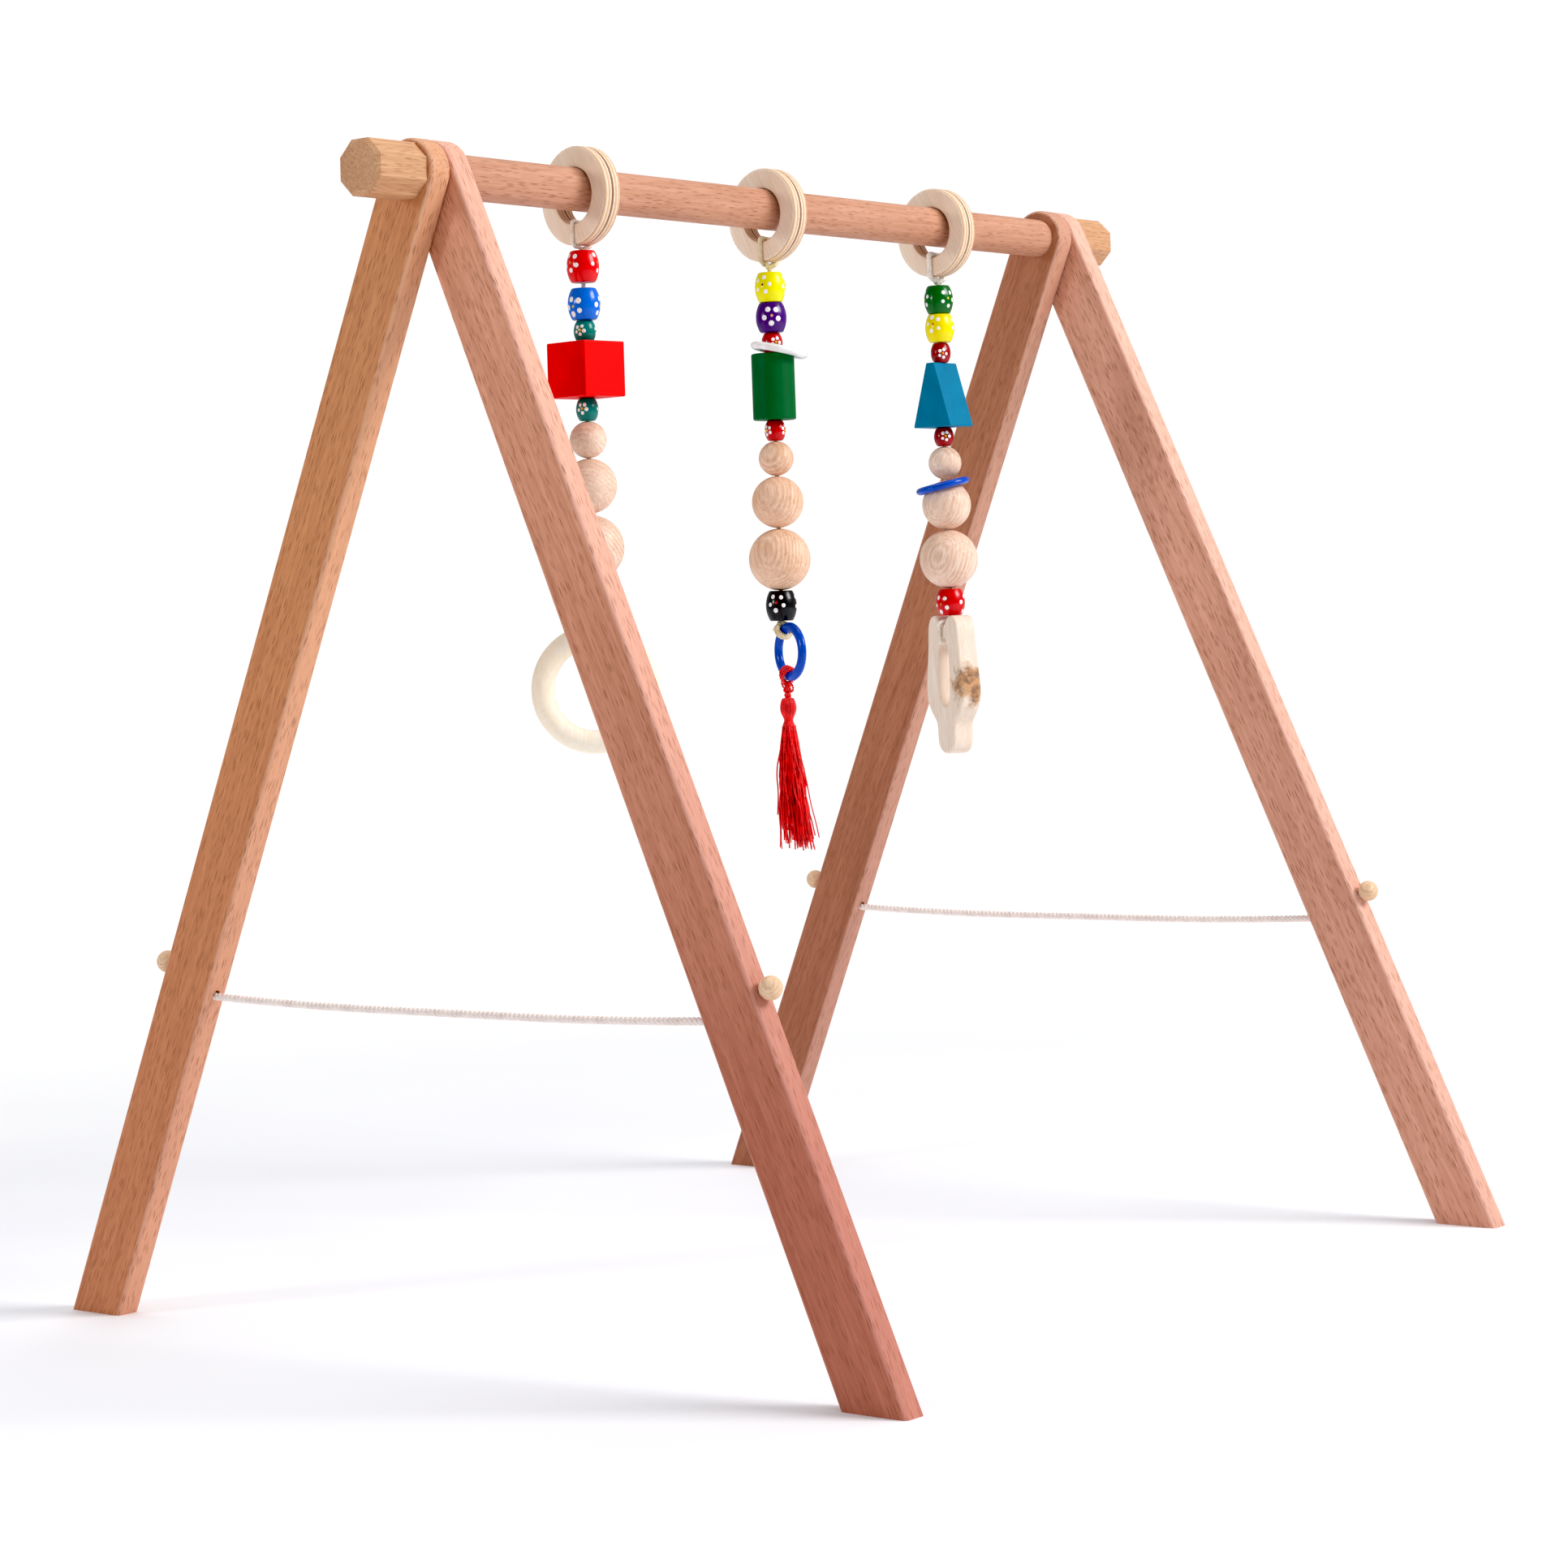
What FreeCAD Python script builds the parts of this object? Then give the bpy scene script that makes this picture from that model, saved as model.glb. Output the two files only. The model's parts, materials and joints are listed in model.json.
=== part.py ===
import FreeCAD, Part
import math
import os

# Wooden activity play gym: a round bar carried by two folding A-frames, with three
# strings of wooden beads hanging from loose plywood rings.
# Millimetres, +Z up. Origin on the floor under the middle of the bar.
# +X runs along the bar, +Y is the side of the left legs.

V = FreeCAD.Vector
X_AXIS = V(1, 0, 0)
Y_AXIS = V(0, 1, 0)
Z_AXIS = V(0, 0, 1)

# Frame
BAR_HEIGHT = 612.0          # bar axis above the floor
BAR_RADIUS = 12.0           # 24 mm dowel
SPIGOT_RADIUS = 8.0         # turned-down ends that the legs turn on
SEAM_HALF_SPACING = 292.0   # middle of the bar to the seam between two legs
SEAM_GAP = 0.4              # air between the two legs of a pair
LEG_THICKNESS = 15.0
LEG_WIDTH = 36.0
LEG_ANGLE = 23.4            # each leg from the vertical when the frame stands open
LEG_EDGE_ROUND = 2.5
LEG_BORE_CLEARANCE = 0.08
SHOULDER_GAP = 0.3          # leg to bar shoulder and leg to cap
SPIGOT_END_GAP = 1.0        # spigot tip to the bottom of the cap bore

# End caps
CAP_ACROSS_FLATS = 29.5
CAP_SIDES = 8
CAP_LENGTH = 36.0
CAP_CHAMFER = 2.0
CAP_BORE_DEPTH = 24.0
CAP_BORE_CLEARANCE = 0.05

# Tie cords and their stoppers
TIE_DISTANCE = 465.0        # along a leg from the bar axis to the cord hole
TIE_CORD_RADIUS = 1.9
TIE_HOLE_RADIUS = 2.6
TIE_SAG = 3.0
TIE_BEND = 5.0              # centre-line radius where the cord leaves a leg
TIE_BEND_OUT = 1.5          # from the inner edge of a leg to where the cord bends
TIE_END_GAP = 0.6           # cord end to the bottom of the stopper bore
STOPPER_GAP = 0.1           # stopper to the leg
STOPPER_RADIUS = 6.0
STOPPER_BORE_RADIUS = 2.1
STOPPER_BORE_DEPTH = 9.0

# Hanging rings and cords
HANGER_X = (-170.0, -4.0, 165.0)
RING_YAW = (-8.5, -6.5, -5.5)
RING_OUTER_RADIUS = 27.5
RING_HOLE_RADIUS = 15.5
RING_THICKNESS = 12.0
RING_ROUND = 1.5
RING_GROOVE = 0.8           # half-round groove between the two discs
RING_REST_GAP = 0.12        # ring hole to the top of the bar
LOOP_CORD_RADIUS = (0.8, 1.1, 1.1)
LOOP_CLEARANCE = 0.2
LOOP_SHOULDER_DEPTH = 31.2  # below the bar axis
KNOT_DEPTH = (33.2, 34.4, 34.4)
KNOT_RADIUS = (1.5, 2.0, 2.0)
KNOT_GAP = 0.2              # knot to the cord of the string under it
LOOP_BEND = 1.5             # centre-line radius at the corners of a loop
CORD_RADIUS = 1.3
BEAD_BORE = 1.9
BEAD_GAP = 0.2
STRING_TOP = (33.7, 37.0, 36.4)     # depth from which each string is stacked
# free cord above each bead beyond the common gap, from the top bead down
STRING_SLACK = (
    (0.0, 3.0, 0.0, 0.0, 0.0, 0.0, 0.0, 0.8, 1.2),
    (0.0, 0.0, 0.0, 0.0, 0.0, 0.0, 0.0, 0.2, 0.0),
    (0.0, 0.0, 0.2, 0.0, 0.0, 0.0, 0.7, 0.2, 0.2),
)
CUBE_YAW = -5.5
PRISM_YAW = -1.5

# Beads
BARREL_HEIGHT = 17.6
BARREL_RADIUS = 9.0
BARREL_END_RADIUS = 6.6
BARREL_ROUND = 1.0
LAST_BARREL_HEIGHT = 16.5   # the red one at the foot of the third string
RIM_WALL = 0.5              # flat left between a bore and a rounded rim
SMALL_RADIUS = 6.2
SMALL_END_RADIUS = 4.2
SMALL_HEIGHT = 12.0
TEAL_LOWER_HEIGHT = 12.6
DARK_UPPER_HEIGHT = 12.4
DARK_LOWER_HEIGHT = 11.6
CUBE_SIDE = 30.5
CUBE_ROUND = 0.8
CYLINDER_RADIUS = 12.6
CYLINDER_HEIGHT = 39.0
CYLINDER_ROUND = 1.0
PRISM_HEIGHT = 40.0
PRISM_BASE = 29.0
PRISM_LENGTH = 23.5
PRISM_ROUND = 0.7
PRISM_TOP_FLAT = 6.0        # the ridge is cut flat where the cord comes out
SMALL_BALL = 10.2
MIDDLE_BALL = 15.1
LARGE_BALL = 18.0
LOOSE_RING_RADIUS = 14.0    # centre circle of the plastic rings
LOOSE_RING_HALF_WIDTH = 3.0
LOOSE_RING_HALF_HEIGHT = 2.3
LOOSE_RING_YAW = -50.6
# each loose ring: depth of its middle, how far it sits to one side, how far it leans
LOOSE_RING_ONE = (4.2, 4.0, 4.0)        # this depth is below the last bead
LOOSE_RING_TWO = (83.1, 4.0, 13.0)
LOOSE_RING_THREE = (161.4, -1.9, -13.0)

# Pendants
TEETHING_RING_RADIUS = 28.9
TEETHING_RING_SECTION = 6.4
TEETHING_RING_YAW = 39.4
TEETHING_TUBE_DROP = 11.0   # last bead to the middle of the tube
PENDANT_CLEARANCE = 0.3
BLUE_RING_YAW = -22.6
BLUE_RING_DROP = 5.6        # last bead to the middle of the tube inside the eye
BLUE_RING_HANG = 28.0       # the ring hangs this many degrees round from its top
TASSEL_HANG = 15.0          # and the tassel this many degrees round from its bottom
TASSEL_CORD_RADIUS = 1.2
TASSEL_TAIL = 9.0
TASSEL_KNOTS = ((2.6, 3.0), (2.0, 6.6))     # radius, depth below the eye
TASSEL_HEAD_GAP = 0.27
TASSEL_NECK_RADIUS = 3.2
TASSEL_HEAD_RADIUS = 4.6
TASSEL_HEAD_LENGTH = 17.0
TASSEL_SHOULDER_RADIUS = 3.8
TASSEL_MIDDLE_RADIUS = 8.6
TASSEL_SKIRT_RADIUS = 10.5
TASSEL_SKIRT_LENGTH = 72.0
TEETHER_YAW = -24.6
TEETHER_THICKNESS = 14.0
TEETHER_NOTCH_DROP = 6.4    # notch below the last bead
TEETHER_STRAND_GAP = 0.3    # string end to the teether's knot level
TEETHER_KNOT_DROP = 1.6     # knot below the last bead
TEETHER_KNOT_RADIUS = 1.5
TEETHER_BRIDGE = 8.9        # notch to the cord in the slot
TEETHER_SHOULDER_RISE = 0.6
TEETHER_ROUND = 1.6
# half outline (across, up from the notch): notch, lobe, body, belly, neck, handle
TEETHER_OUTLINE = ((0.0, 0.0), (4.2, 3.2), (8.6, 6.2), (13.5, 5.6), (17.2, 0.0),
                   (18.4, -10.0), (19.8, -22.0), (21.8, -36.0), (21.3, -46.0),
                   (16.4, -54.0), (11.2, -60.0), (10.2, -67.0), (8.6, -74.5), (0.0, -78.5))
TEETHER_SLOT = ((0.0, -8.0), (4.6, -11.5), (6.4, -22.0), (6.6, -34.0), (4.4, -46.0), (0.0, -50.0))


def below(depth):
    """Height above the floor of a point this far below the bar axis."""
    return BAR_HEIGHT - depth


def rod(radius, start, end):
    """A round rod from one point to another."""
    span = end.sub(start)
    return Part.makeCylinder(radius, span.Length, start, span)


def turned(edges, centre):
    """Spin a closed outline, drawn in the XZ plane, around Z and move it to centre."""
    face = Part.Face(Part.Wire(edges))
    solid = face.revolve(V(0, 0, 0), Z_AXIS, 360)
    solid.translate(centre)
    return solid


def line(a, b):
    return Part.LineSegment(a, b).toShape()


def arc(a, b, c):
    return Part.Arc(a, b, c).toShape()


def yawed(shape, angle, x):
    """Turn a shape about the vertical line through x on the bar."""
    shape.rotate(V(x, 0, 0), Z_AXIS, angle)
    return shape


def corner(before, point, after, radius):
    """Start, middle and end of the arc that rounds a corner."""
    back = (before - point).normalize()
    on = (after - point).normalize()
    half = back.getAngle(on) / 2
    inward = (back + on).normalize()
    start = point + back * (radius / math.tan(half))
    end = point + on * (radius / math.tan(half))
    middle = point + inward * (radius / math.sin(half) - radius)
    return start, middle, end


def cord_through(path, radius):
    """A cord of round section along a smooth path of edges."""
    first = path[0]
    start = first.valueAt(first.FirstParameter)
    tangent = first.tangentAt(first.FirstParameter)
    section = Part.Wire([Part.makeCircle(radius, start, tangent)])
    return Part.Wire(path).makePipeShell([section], True, False)


def cord_along(points, radius, bend):
    """An open cord through the points, with round bends."""
    path = []
    last = points[0]
    for before, point, after in zip(points, points[1:], points[2:]):
        start, middle, end = corner(before, point, after, bend)
        path += [line(last, start), arc(start, middle, end)]
        last = end
    path.append(line(last, points[-1]))
    return cord_through(path, radius)


def cord_loop(points, radius, bend):
    """A closed cord through the points, with round bends."""
    count = len(points)
    arcs = [
        corner(points[i - 1], points[i], points[(i + 1) % count], bend)
        for i in range(count)
    ]
    path = []
    for i in range(count):
        start, middle, end = arcs[i]
        path += [arc(start, middle, end), line(end, arcs[(i + 1) % count][0])]
    path = path[1:] + path[:1]
    return cord_through(path, radius)


# ---- frame -------------------------------------------------------------------------

def make_crossbar():
    shoulder = SEAM_HALF_SPACING - LEG_THICKNESS - SHOULDER_GAP
    cap = SEAM_HALF_SPACING + LEG_THICKNESS + SHOULDER_GAP
    tip = cap + CAP_BORE_DEPTH - SPIGOT_END_GAP
    middle = rod(BAR_RADIUS, V(-shoulder, 0, BAR_HEIGHT), V(shoulder, 0, BAR_HEIGHT))
    spigots = rod(SPIGOT_RADIUS, V(-tip, 0, BAR_HEIGHT), V(tip, 0, BAR_HEIGHT))
    return middle.fuse(spigots).removeSplitter()


def make_end_cap(side):
    """Eight-sided wooden knob glued on the bar end; side is -1 near, +1 far."""
    inner = side * (SEAM_HALF_SPACING + LEG_THICKNESS + SHOULDER_GAP)
    half_step = math.pi / CAP_SIDES
    reach = CAP_ACROSS_FLATS / 2 / math.cos(half_step)
    ring = []
    for k in range(CAP_SIDES + 1):
        turn = (2 * k + 1) * half_step
        ring.append(V(inner, reach * math.cos(turn), BAR_HEIGHT + reach * math.sin(turn)))
    block = Part.Face(Part.makePolygon(ring)).extrude(V(side * CAP_LENGTH, 0, 0))
    outer = inner + side * CAP_LENGTH
    rim = [e for e in block.Edges if all(abs(v.X - outer) < 1e-6 for v in e.Vertexes)]
    block = block.makeChamfer(CAP_CHAMFER, rim)
    bore = rod(SPIGOT_RADIUS + CAP_BORE_CLEARANCE, V(inner - side, 0, BAR_HEIGHT),
               V(inner + side * CAP_BORE_DEPTH, 0, BAR_HEIGHT))
    return block.cut(bore)


def leg_direction(hand):
    angle = math.radians(LEG_ANGLE)
    return V(0, hand * math.sin(angle), -math.cos(angle))


def leg_outward(hand):
    angle = math.radians(LEG_ANGLE)
    return V(0, hand * math.cos(angle), math.sin(angle))


def leg_x(side, hand):
    """X of the middle of a leg's thickness. The left leg is on the -X side of its pair."""
    return side * SEAM_HALF_SPACING - hand * (LEG_THICKNESS / 2 + SEAM_GAP / 2)


def leg_point(side, hand, along, out):
    """A point in a leg, measured down its length and outward across its width."""
    base = V(leg_x(side, hand), 0, BAR_HEIGHT)
    return base + leg_direction(hand) * along + leg_outward(hand) * out


def make_leg(side, hand):
    """A flat leg with a round top, a bar hole, a cord hole and a foot cut level."""
    half = LEG_WIDTH / 2
    low = BAR_HEIGHT / math.cos(math.radians(LEG_ANGLE)) + LEG_WIDTH
    shift = V(-LEG_THICKNESS / 2, 0, 0)
    top = leg_point(side, hand, -half, 0) + shift
    outer_top = leg_point(side, hand, 0, half) + shift
    outer_low = leg_point(side, hand, low, half) + shift
    inner_low = leg_point(side, hand, low, -half) + shift
    inner_top = leg_point(side, hand, 0, -half) + shift
    outline = Part.Wire([
        line(outer_top, outer_low),
        line(outer_low, inner_low),
        line(inner_low, inner_top),
        arc(inner_top, top, outer_top),
    ])
    blank = Part.Face(outline).extrude(V(LEG_THICKNESS, 0, 0))
    across = [e for e in blank.Edges if e.BoundBox.XLength > LEG_THICKNESS / 2]
    long_edges = [
        e for e in blank.Edges
        if not any(e.isSame(a) for a in across) and e.BoundBox.ZMax > 0
    ]
    blank = blank.makeFillet(LEG_EDGE_ROUND, long_edges)
    floor = 8 * LEG_WIDTH
    under = Part.makeBox(floor, floor, floor)
    foot = leg_point(side, hand, low, 0)
    under.translate(V(foot.x - floor / 2, foot.y - floor / 2, -floor))
    blank = blank.cut(under)
    reach = V(LEG_THICKNESS, 0, 0)
    axis_point = V(leg_x(side, hand), 0, BAR_HEIGHT)
    bore = rod(SPIGOT_RADIUS + LEG_BORE_CLEARANCE, axis_point - reach, axis_point + reach)
    cord_hole = rod(TIE_HOLE_RADIUS, leg_point(side, hand, TIE_DISTANCE, -LEG_WIDTH),
                    leg_point(side, hand, TIE_DISTANCE, LEG_WIDTH))
    return blank.cut(bore).cut(cord_hole)


def stopper_centre(side, hand):
    return leg_point(side, hand, TIE_DISTANCE, LEG_WIDTH / 2 + STOPPER_RADIUS + STOPPER_GAP)


def make_stopper(side, hand):
    """The wooden ball on the outer edge of a leg that holds the end of the tie cord."""
    centre = stopper_centre(side, hand)
    inward = leg_outward(hand) * -1
    start = centre + inward * (STOPPER_RADIUS + 1)
    stop = start - inward * (STOPPER_BORE_DEPTH + 1)
    return Part.makeSphere(STOPPER_RADIUS, centre).cut(rod(STOPPER_BORE_RADIUS, start, stop))


def make_tie_cord(side):
    """The cord between the two legs of a pair; it sets how far they open."""
    path = []
    for hand in (1, -1):
        centre = stopper_centre(side, hand)
        inset = STOPPER_BORE_DEPTH - STOPPER_RADIUS - TIE_END_GAP
        deep = centre + leg_outward(hand) * inset
        bend = leg_point(side, hand, TIE_DISTANCE, -LEG_WIDTH / 2 - TIE_BEND_OUT)
        path.append((deep, bend))
    middle = (path[0][1] + path[1][1]) * 0.5 - V(0, 0, TIE_SAG)
    points = [path[0][0], path[0][1], middle, path[1][1], path[1][0]]
    return cord_along(points, TIE_CORD_RADIUS, TIE_BEND)


# ---- rings and cords of the strings -------------------------------------------------

def ring_centre_depth():
    return RING_HOLE_RADIUS - BAR_RADIUS - RING_REST_GAP


def make_hanging_ring(index):
    """Two glued plywood discs with a groove between them, hung loose on the bar."""
    x = HANGER_X[index]
    centre = V(x, 0, below(ring_centre_depth()))
    half = V(RING_THICKNESS / 2, 0, 0)
    disc = rod(RING_OUTER_RADIUS, centre - half, centre + half)
    disc = disc.cut(rod(RING_HOLE_RADIUS, centre - half * 2, centre + half * 2))
    rims = [e for e in disc.Edges if e.Closed and e.BoundBox.XLength < 1e-6]
    disc = disc.makeFillet(RING_ROUND, rims)
    groove = Part.makeTorus(RING_OUTER_RADIUS, RING_GROOVE, centre, X_AXIS)
    return yawed(disc.cut(groove), RING_YAW[index], x)


def hang(shape, index, yaw):
    """Move a shape drawn about the bar axis to its place on the bar and turn it."""
    shape.rotate(V(0, 0, 0), Z_AXIS, yaw)
    shape.translate(V(HANGER_X[index], 0, BAR_HEIGHT))
    return shape


def make_loop(index):
    """The cord loop round the bottom of a ring, with the knot under it."""
    radius = LOOP_CORD_RADIUS[index]
    side = RING_THICKNESS / 2 + LOOP_CLEARANCE + radius
    inside = ring_centre_depth() + RING_HOLE_RADIUS
    top = LOOP_CLEARANCE + radius - inside
    knot = V(0, 0, -KNOT_DEPTH[index])
    points = [
        V(-side, 0, top),
        V(side, 0, top),
        V(side, 0, -LOOP_SHOULDER_DEPTH),
        knot,
        V(-side, 0, -LOOP_SHOULDER_DEPTH),
    ]
    loop = cord_loop(points, radius, LOOP_BEND)
    loop = loop.fuse(Part.makeSphere(KNOT_RADIUS[index], knot, X_AXIS))
    return hang(loop, index, RING_YAW[index])


def make_strand(index, depth):
    """The straight cord through the beads, down to the given depth."""
    x = HANGER_X[index]
    top = KNOT_DEPTH[index] + KNOT_RADIUS[index] + KNOT_GAP
    return rod(CORD_RADIUS, V(x, 0, below(top)), V(x, 0, below(depth)))


def hang_point(index, yaw, across, depth):
    """A point in the upright plane that is turned by yaw from the YZ plane of a string."""
    turn = math.radians(yaw)
    return V(HANGER_X[index] - across * math.sin(turn), across * math.cos(turn), below(depth))


def make_eye(centre, tube_radius, cord_radius, yaw, slope):
    """A round eye of cord about a tube that runs down at slope degrees."""
    radius = tube_radius + PENDANT_CLEARANCE + cord_radius
    eye = Part.makeTorus(radius, cord_radius, V(0, 0, 0), Y_AXIS)
    eye.rotate(V(0, 0, 0), X_AXIS, -slope)
    eye.rotate(V(0, 0, 0), Z_AXIS, yaw)
    eye.translate(centre)
    return eye


# ---- beads: each takes its string, the depth of its middle and its own size ---------

def bead_centre(index, depth):
    return V(HANGER_X[index], 0, below(depth))


def make_barrel(index, depth, height, radius, end_radius):
    """A turned bead with a bulging side and flat ends."""
    half = height / 2
    outline = [
        line(V(BEAD_BORE, 0, -half), V(end_radius, 0, -half)),
        arc(V(end_radius, 0, -half), V(radius, 0, 0), V(end_radius, 0, half)),
        line(V(end_radius, 0, half), V(BEAD_BORE, 0, half)),
        line(V(BEAD_BORE, 0, half), V(BEAD_BORE, 0, -half)),
    ]
    bead = turned(outline, bead_centre(index, depth))
    rims = [
        e for e in bead.Edges
        if e.Closed and e.BoundBox.ZLength < 1e-6 and e.BoundBox.XLength > 2 * BEAD_BORE + 1
    ]
    return bead.makeFillet(min(BARREL_ROUND, end_radius - BEAD_BORE - RIM_WALL), rims)


def bored(shape, index, depth, height):
    reach = V(0, 0, height)
    centre = bead_centre(index, depth)
    return shape.cut(rod(BEAD_BORE, centre - reach, centre + reach))


def make_ball(index, depth, radius):
    return bored(Part.makeSphere(radius, bead_centre(index, depth)), index, depth, 2 * radius)


def make_cube(index, depth):
    half = CUBE_SIDE / 2
    corner = bead_centre(index, depth) - V(half, half, half)
    cube = Part.makeBox(CUBE_SIDE, CUBE_SIDE, CUBE_SIDE, corner)
    cube = cube.makeFillet(CUBE_ROUND, cube.Edges)
    return yawed(bored(cube, index, depth, CUBE_SIDE), CUBE_YAW, HANGER_X[index])


def make_cylinder(index, depth):
    half = V(0, 0, CYLINDER_HEIGHT / 2)
    centre = bead_centre(index, depth)
    body = rod(CYLINDER_RADIUS, centre - half, centre + half)
    rims = [e for e in body.Edges if e.Closed and e.BoundBox.ZLength < 1e-6]
    body = body.makeFillet(CYLINDER_ROUND, rims)
    return bored(body, index, depth, CYLINDER_HEIGHT)


def make_prism(index, depth):
    """A three-sided block with its ridge up and along the bar."""
    centre = bead_centre(index, depth)
    half = PRISM_HEIGHT / 2
    left = V(centre.x - PRISM_LENGTH / 2, 0, 0)
    outline = Part.makePolygon([
        left + V(0, -PRISM_BASE / 2, centre.z - half),
        left + V(0, PRISM_BASE / 2, centre.z - half),
        left + V(0, PRISM_TOP_FLAT / 2, centre.z + half),
        left + V(0, -PRISM_TOP_FLAT / 2, centre.z + half),
        left + V(0, -PRISM_BASE / 2, centre.z - half),
    ])
    block = Part.Face(outline).extrude(V(PRISM_LENGTH, 0, 0))
    block = block.makeFillet(PRISM_ROUND, block.Edges)
    return yawed(bored(block, index, depth, PRISM_HEIGHT), PRISM_YAW, centre.x)


def plastic_ring(tilt):
    """A ring of oval section about the origin, leaning by tilt degrees about Y."""
    section = Part.Ellipse(V(0, 0, 0), LOOSE_RING_HALF_WIDTH, LOOSE_RING_HALF_HEIGHT)
    wire = Part.Wire([section.toShape()])
    wire.rotate(V(0, 0, 0), X_AXIS, 90)
    wire.translate(V(LOOSE_RING_RADIUS, 0, 0))
    ring = Part.Face(wire).revolve(V(0, 0, 0), Z_AXIS, 360)
    ring.rotate(V(0, 0, 0), Y_AXIS, tilt)
    return ring


def make_loose_ring(index, above, place):
    """A plastic ring round a string, leaning on the piece below it."""
    depth, shift, tilt = place
    ring = plastic_ring(tilt)
    ring.translate(V(shift, 0, 0))
    ring.rotate(V(0, 0, 0), Z_AXIS, LOOSE_RING_YAW)
    ring.translate(bead_centre(index, above + depth))
    return ring


# ---- pendants ----------------------------------------------------------------------

def make_teething_ring(index, top_depth):
    centre = bead_centre(index, top_depth + TEETHING_RING_RADIUS)
    ring = Part.makeTorus(TEETHING_RING_RADIUS, TEETHING_RING_SECTION, centre, X_AXIS)
    return yawed(ring, TEETHING_RING_YAW, HANGER_X[index])


def blue_ring_point(low, radius, degrees):
    """Where a point of the upright plastic ring is: across from the string, and its depth.

    The angle is counted from the top of the ring; low is the bottom of the last bead.
    """
    hang = math.radians(BLUE_RING_HANG)
    eye = LOOSE_RING_HALF_WIDTH + PENDANT_CLEARANCE + CORD_RADIUS
    middle = -(eye + LOOSE_RING_RADIUS) * math.sin(hang)
    depth = low + BLUE_RING_DROP + LOOSE_RING_RADIUS * math.cos(hang)
    turn = math.radians(degrees)
    return middle + radius * math.sin(turn), depth - radius * math.cos(turn)


def make_pendant_ring(index, low):
    """The upright plastic ring that carries the tassel."""
    ring = plastic_ring(90)
    ring.rotate(V(0, 0, 0), Z_AXIS, BLUE_RING_YAW)
    ring.translate(hang_point(index, BLUE_RING_YAW, *blue_ring_point(low, 0, 0)))
    return ring


def make_pendant_eye(index, low):
    """The eye at the end of the middle string, round the tube of the plastic ring."""
    across, depth = blue_ring_point(low, LOOSE_RING_RADIUS, BLUE_RING_HANG)
    centre = hang_point(index, BLUE_RING_YAW, across, depth)
    return make_eye(centre, LOOSE_RING_HALF_WIDTH, CORD_RADIUS, BLUE_RING_YAW, BLUE_RING_HANG)


def tassel_top(low):
    """How far across and how deep the lowest point of the tassel eye is."""
    reach = LOOSE_RING_HALF_WIDTH + PENDANT_CLEARANCE + TASSEL_CORD_RADIUS
    return blue_ring_point(low, LOOSE_RING_RADIUS + reach, 180 - TASSEL_HANG)


def tassel_point(index, low, drop):
    """A point on the line the tassel hangs on, this far below its eye."""
    across, depth = tassel_top(low)
    return hang_point(index, BLUE_RING_YAW, across, depth + drop)


def make_tassel_cord(index, low):
    """Cord eye through the bottom of the plastic ring, with two small knots below."""
    across, depth = blue_ring_point(low, LOOSE_RING_RADIUS, 180 - TASSEL_HANG)
    centre = hang_point(index, BLUE_RING_YAW, across, depth)
    eye = make_eye(centre, LOOSE_RING_HALF_WIDTH, TASSEL_CORD_RADIUS, BLUE_RING_YAW,
                   -TASSEL_HANG)
    pieces = [rod(TASSEL_CORD_RADIUS, tassel_point(index, low, 0),
                  tassel_point(index, low, TASSEL_TAIL))]
    for radius, drop in TASSEL_KNOTS:
        pieces.append(Part.makeSphere(radius, tassel_point(index, low, drop)))
    return eye.multiFuse(pieces)


def make_tassel_head(index, low):
    """The bound neck of the tassel."""
    neck = TASSEL_NECK_RADIUS
    length = TASSEL_HEAD_LENGTH
    outline = [
        line(V(0, 0, 0), V(neck, 0, 0)),
        arc(V(neck, 0, 0), V(TASSEL_HEAD_RADIUS, 0, -length / 3), V(neck, 0, -length)),
        line(V(neck, 0, -length), V(0, 0, -length)),
        line(V(0, 0, -length), V(0, 0, 0)),
    ]
    return turned(outline, tassel_point(index, low, TASSEL_TAIL + TASSEL_HEAD_GAP))


def make_tassel_skirt(index, low):
    """The envelope of the tassel threads, as one closed soft body."""
    length = TASSEL_SKIRT_LENGTH
    outline = [
        line(V(0, 0, 0), V(TASSEL_SHOULDER_RADIUS, 0, 0)),
        arc(V(TASSEL_SHOULDER_RADIUS, 0, 0), V(TASSEL_MIDDLE_RADIUS, 0, -length / 2),
            V(TASSEL_SKIRT_RADIUS, 0, -length)),
        line(V(TASSEL_SKIRT_RADIUS, 0, -length), V(0, 0, -length)),
        line(V(0, 0, -length), V(0, 0, 0)),
    ]
    drop = TASSEL_TAIL + TASSEL_HEAD_GAP + TASSEL_HEAD_LENGTH + BEAD_GAP
    return turned(outline, tassel_point(index, low, drop))


def smooth_board(half_outline):
    """A board with a smooth outline, mirrored about its middle, drawn about x = 0."""
    left = [V(-TEETHER_THICKNESS / 2, -y, z) for y, z in reversed(half_outline) if y]
    right = [V(-TEETHER_THICKNESS / 2, y, z) for y, z in half_outline]
    curve = Part.BSplineCurve()
    curve.interpolate(Points=right + left, PeriodicFlag=True)
    face = Part.Face(Part.Wire([curve.toShape()]))
    return face.extrude(V(TEETHER_THICKNESS, 0, 0))


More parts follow.
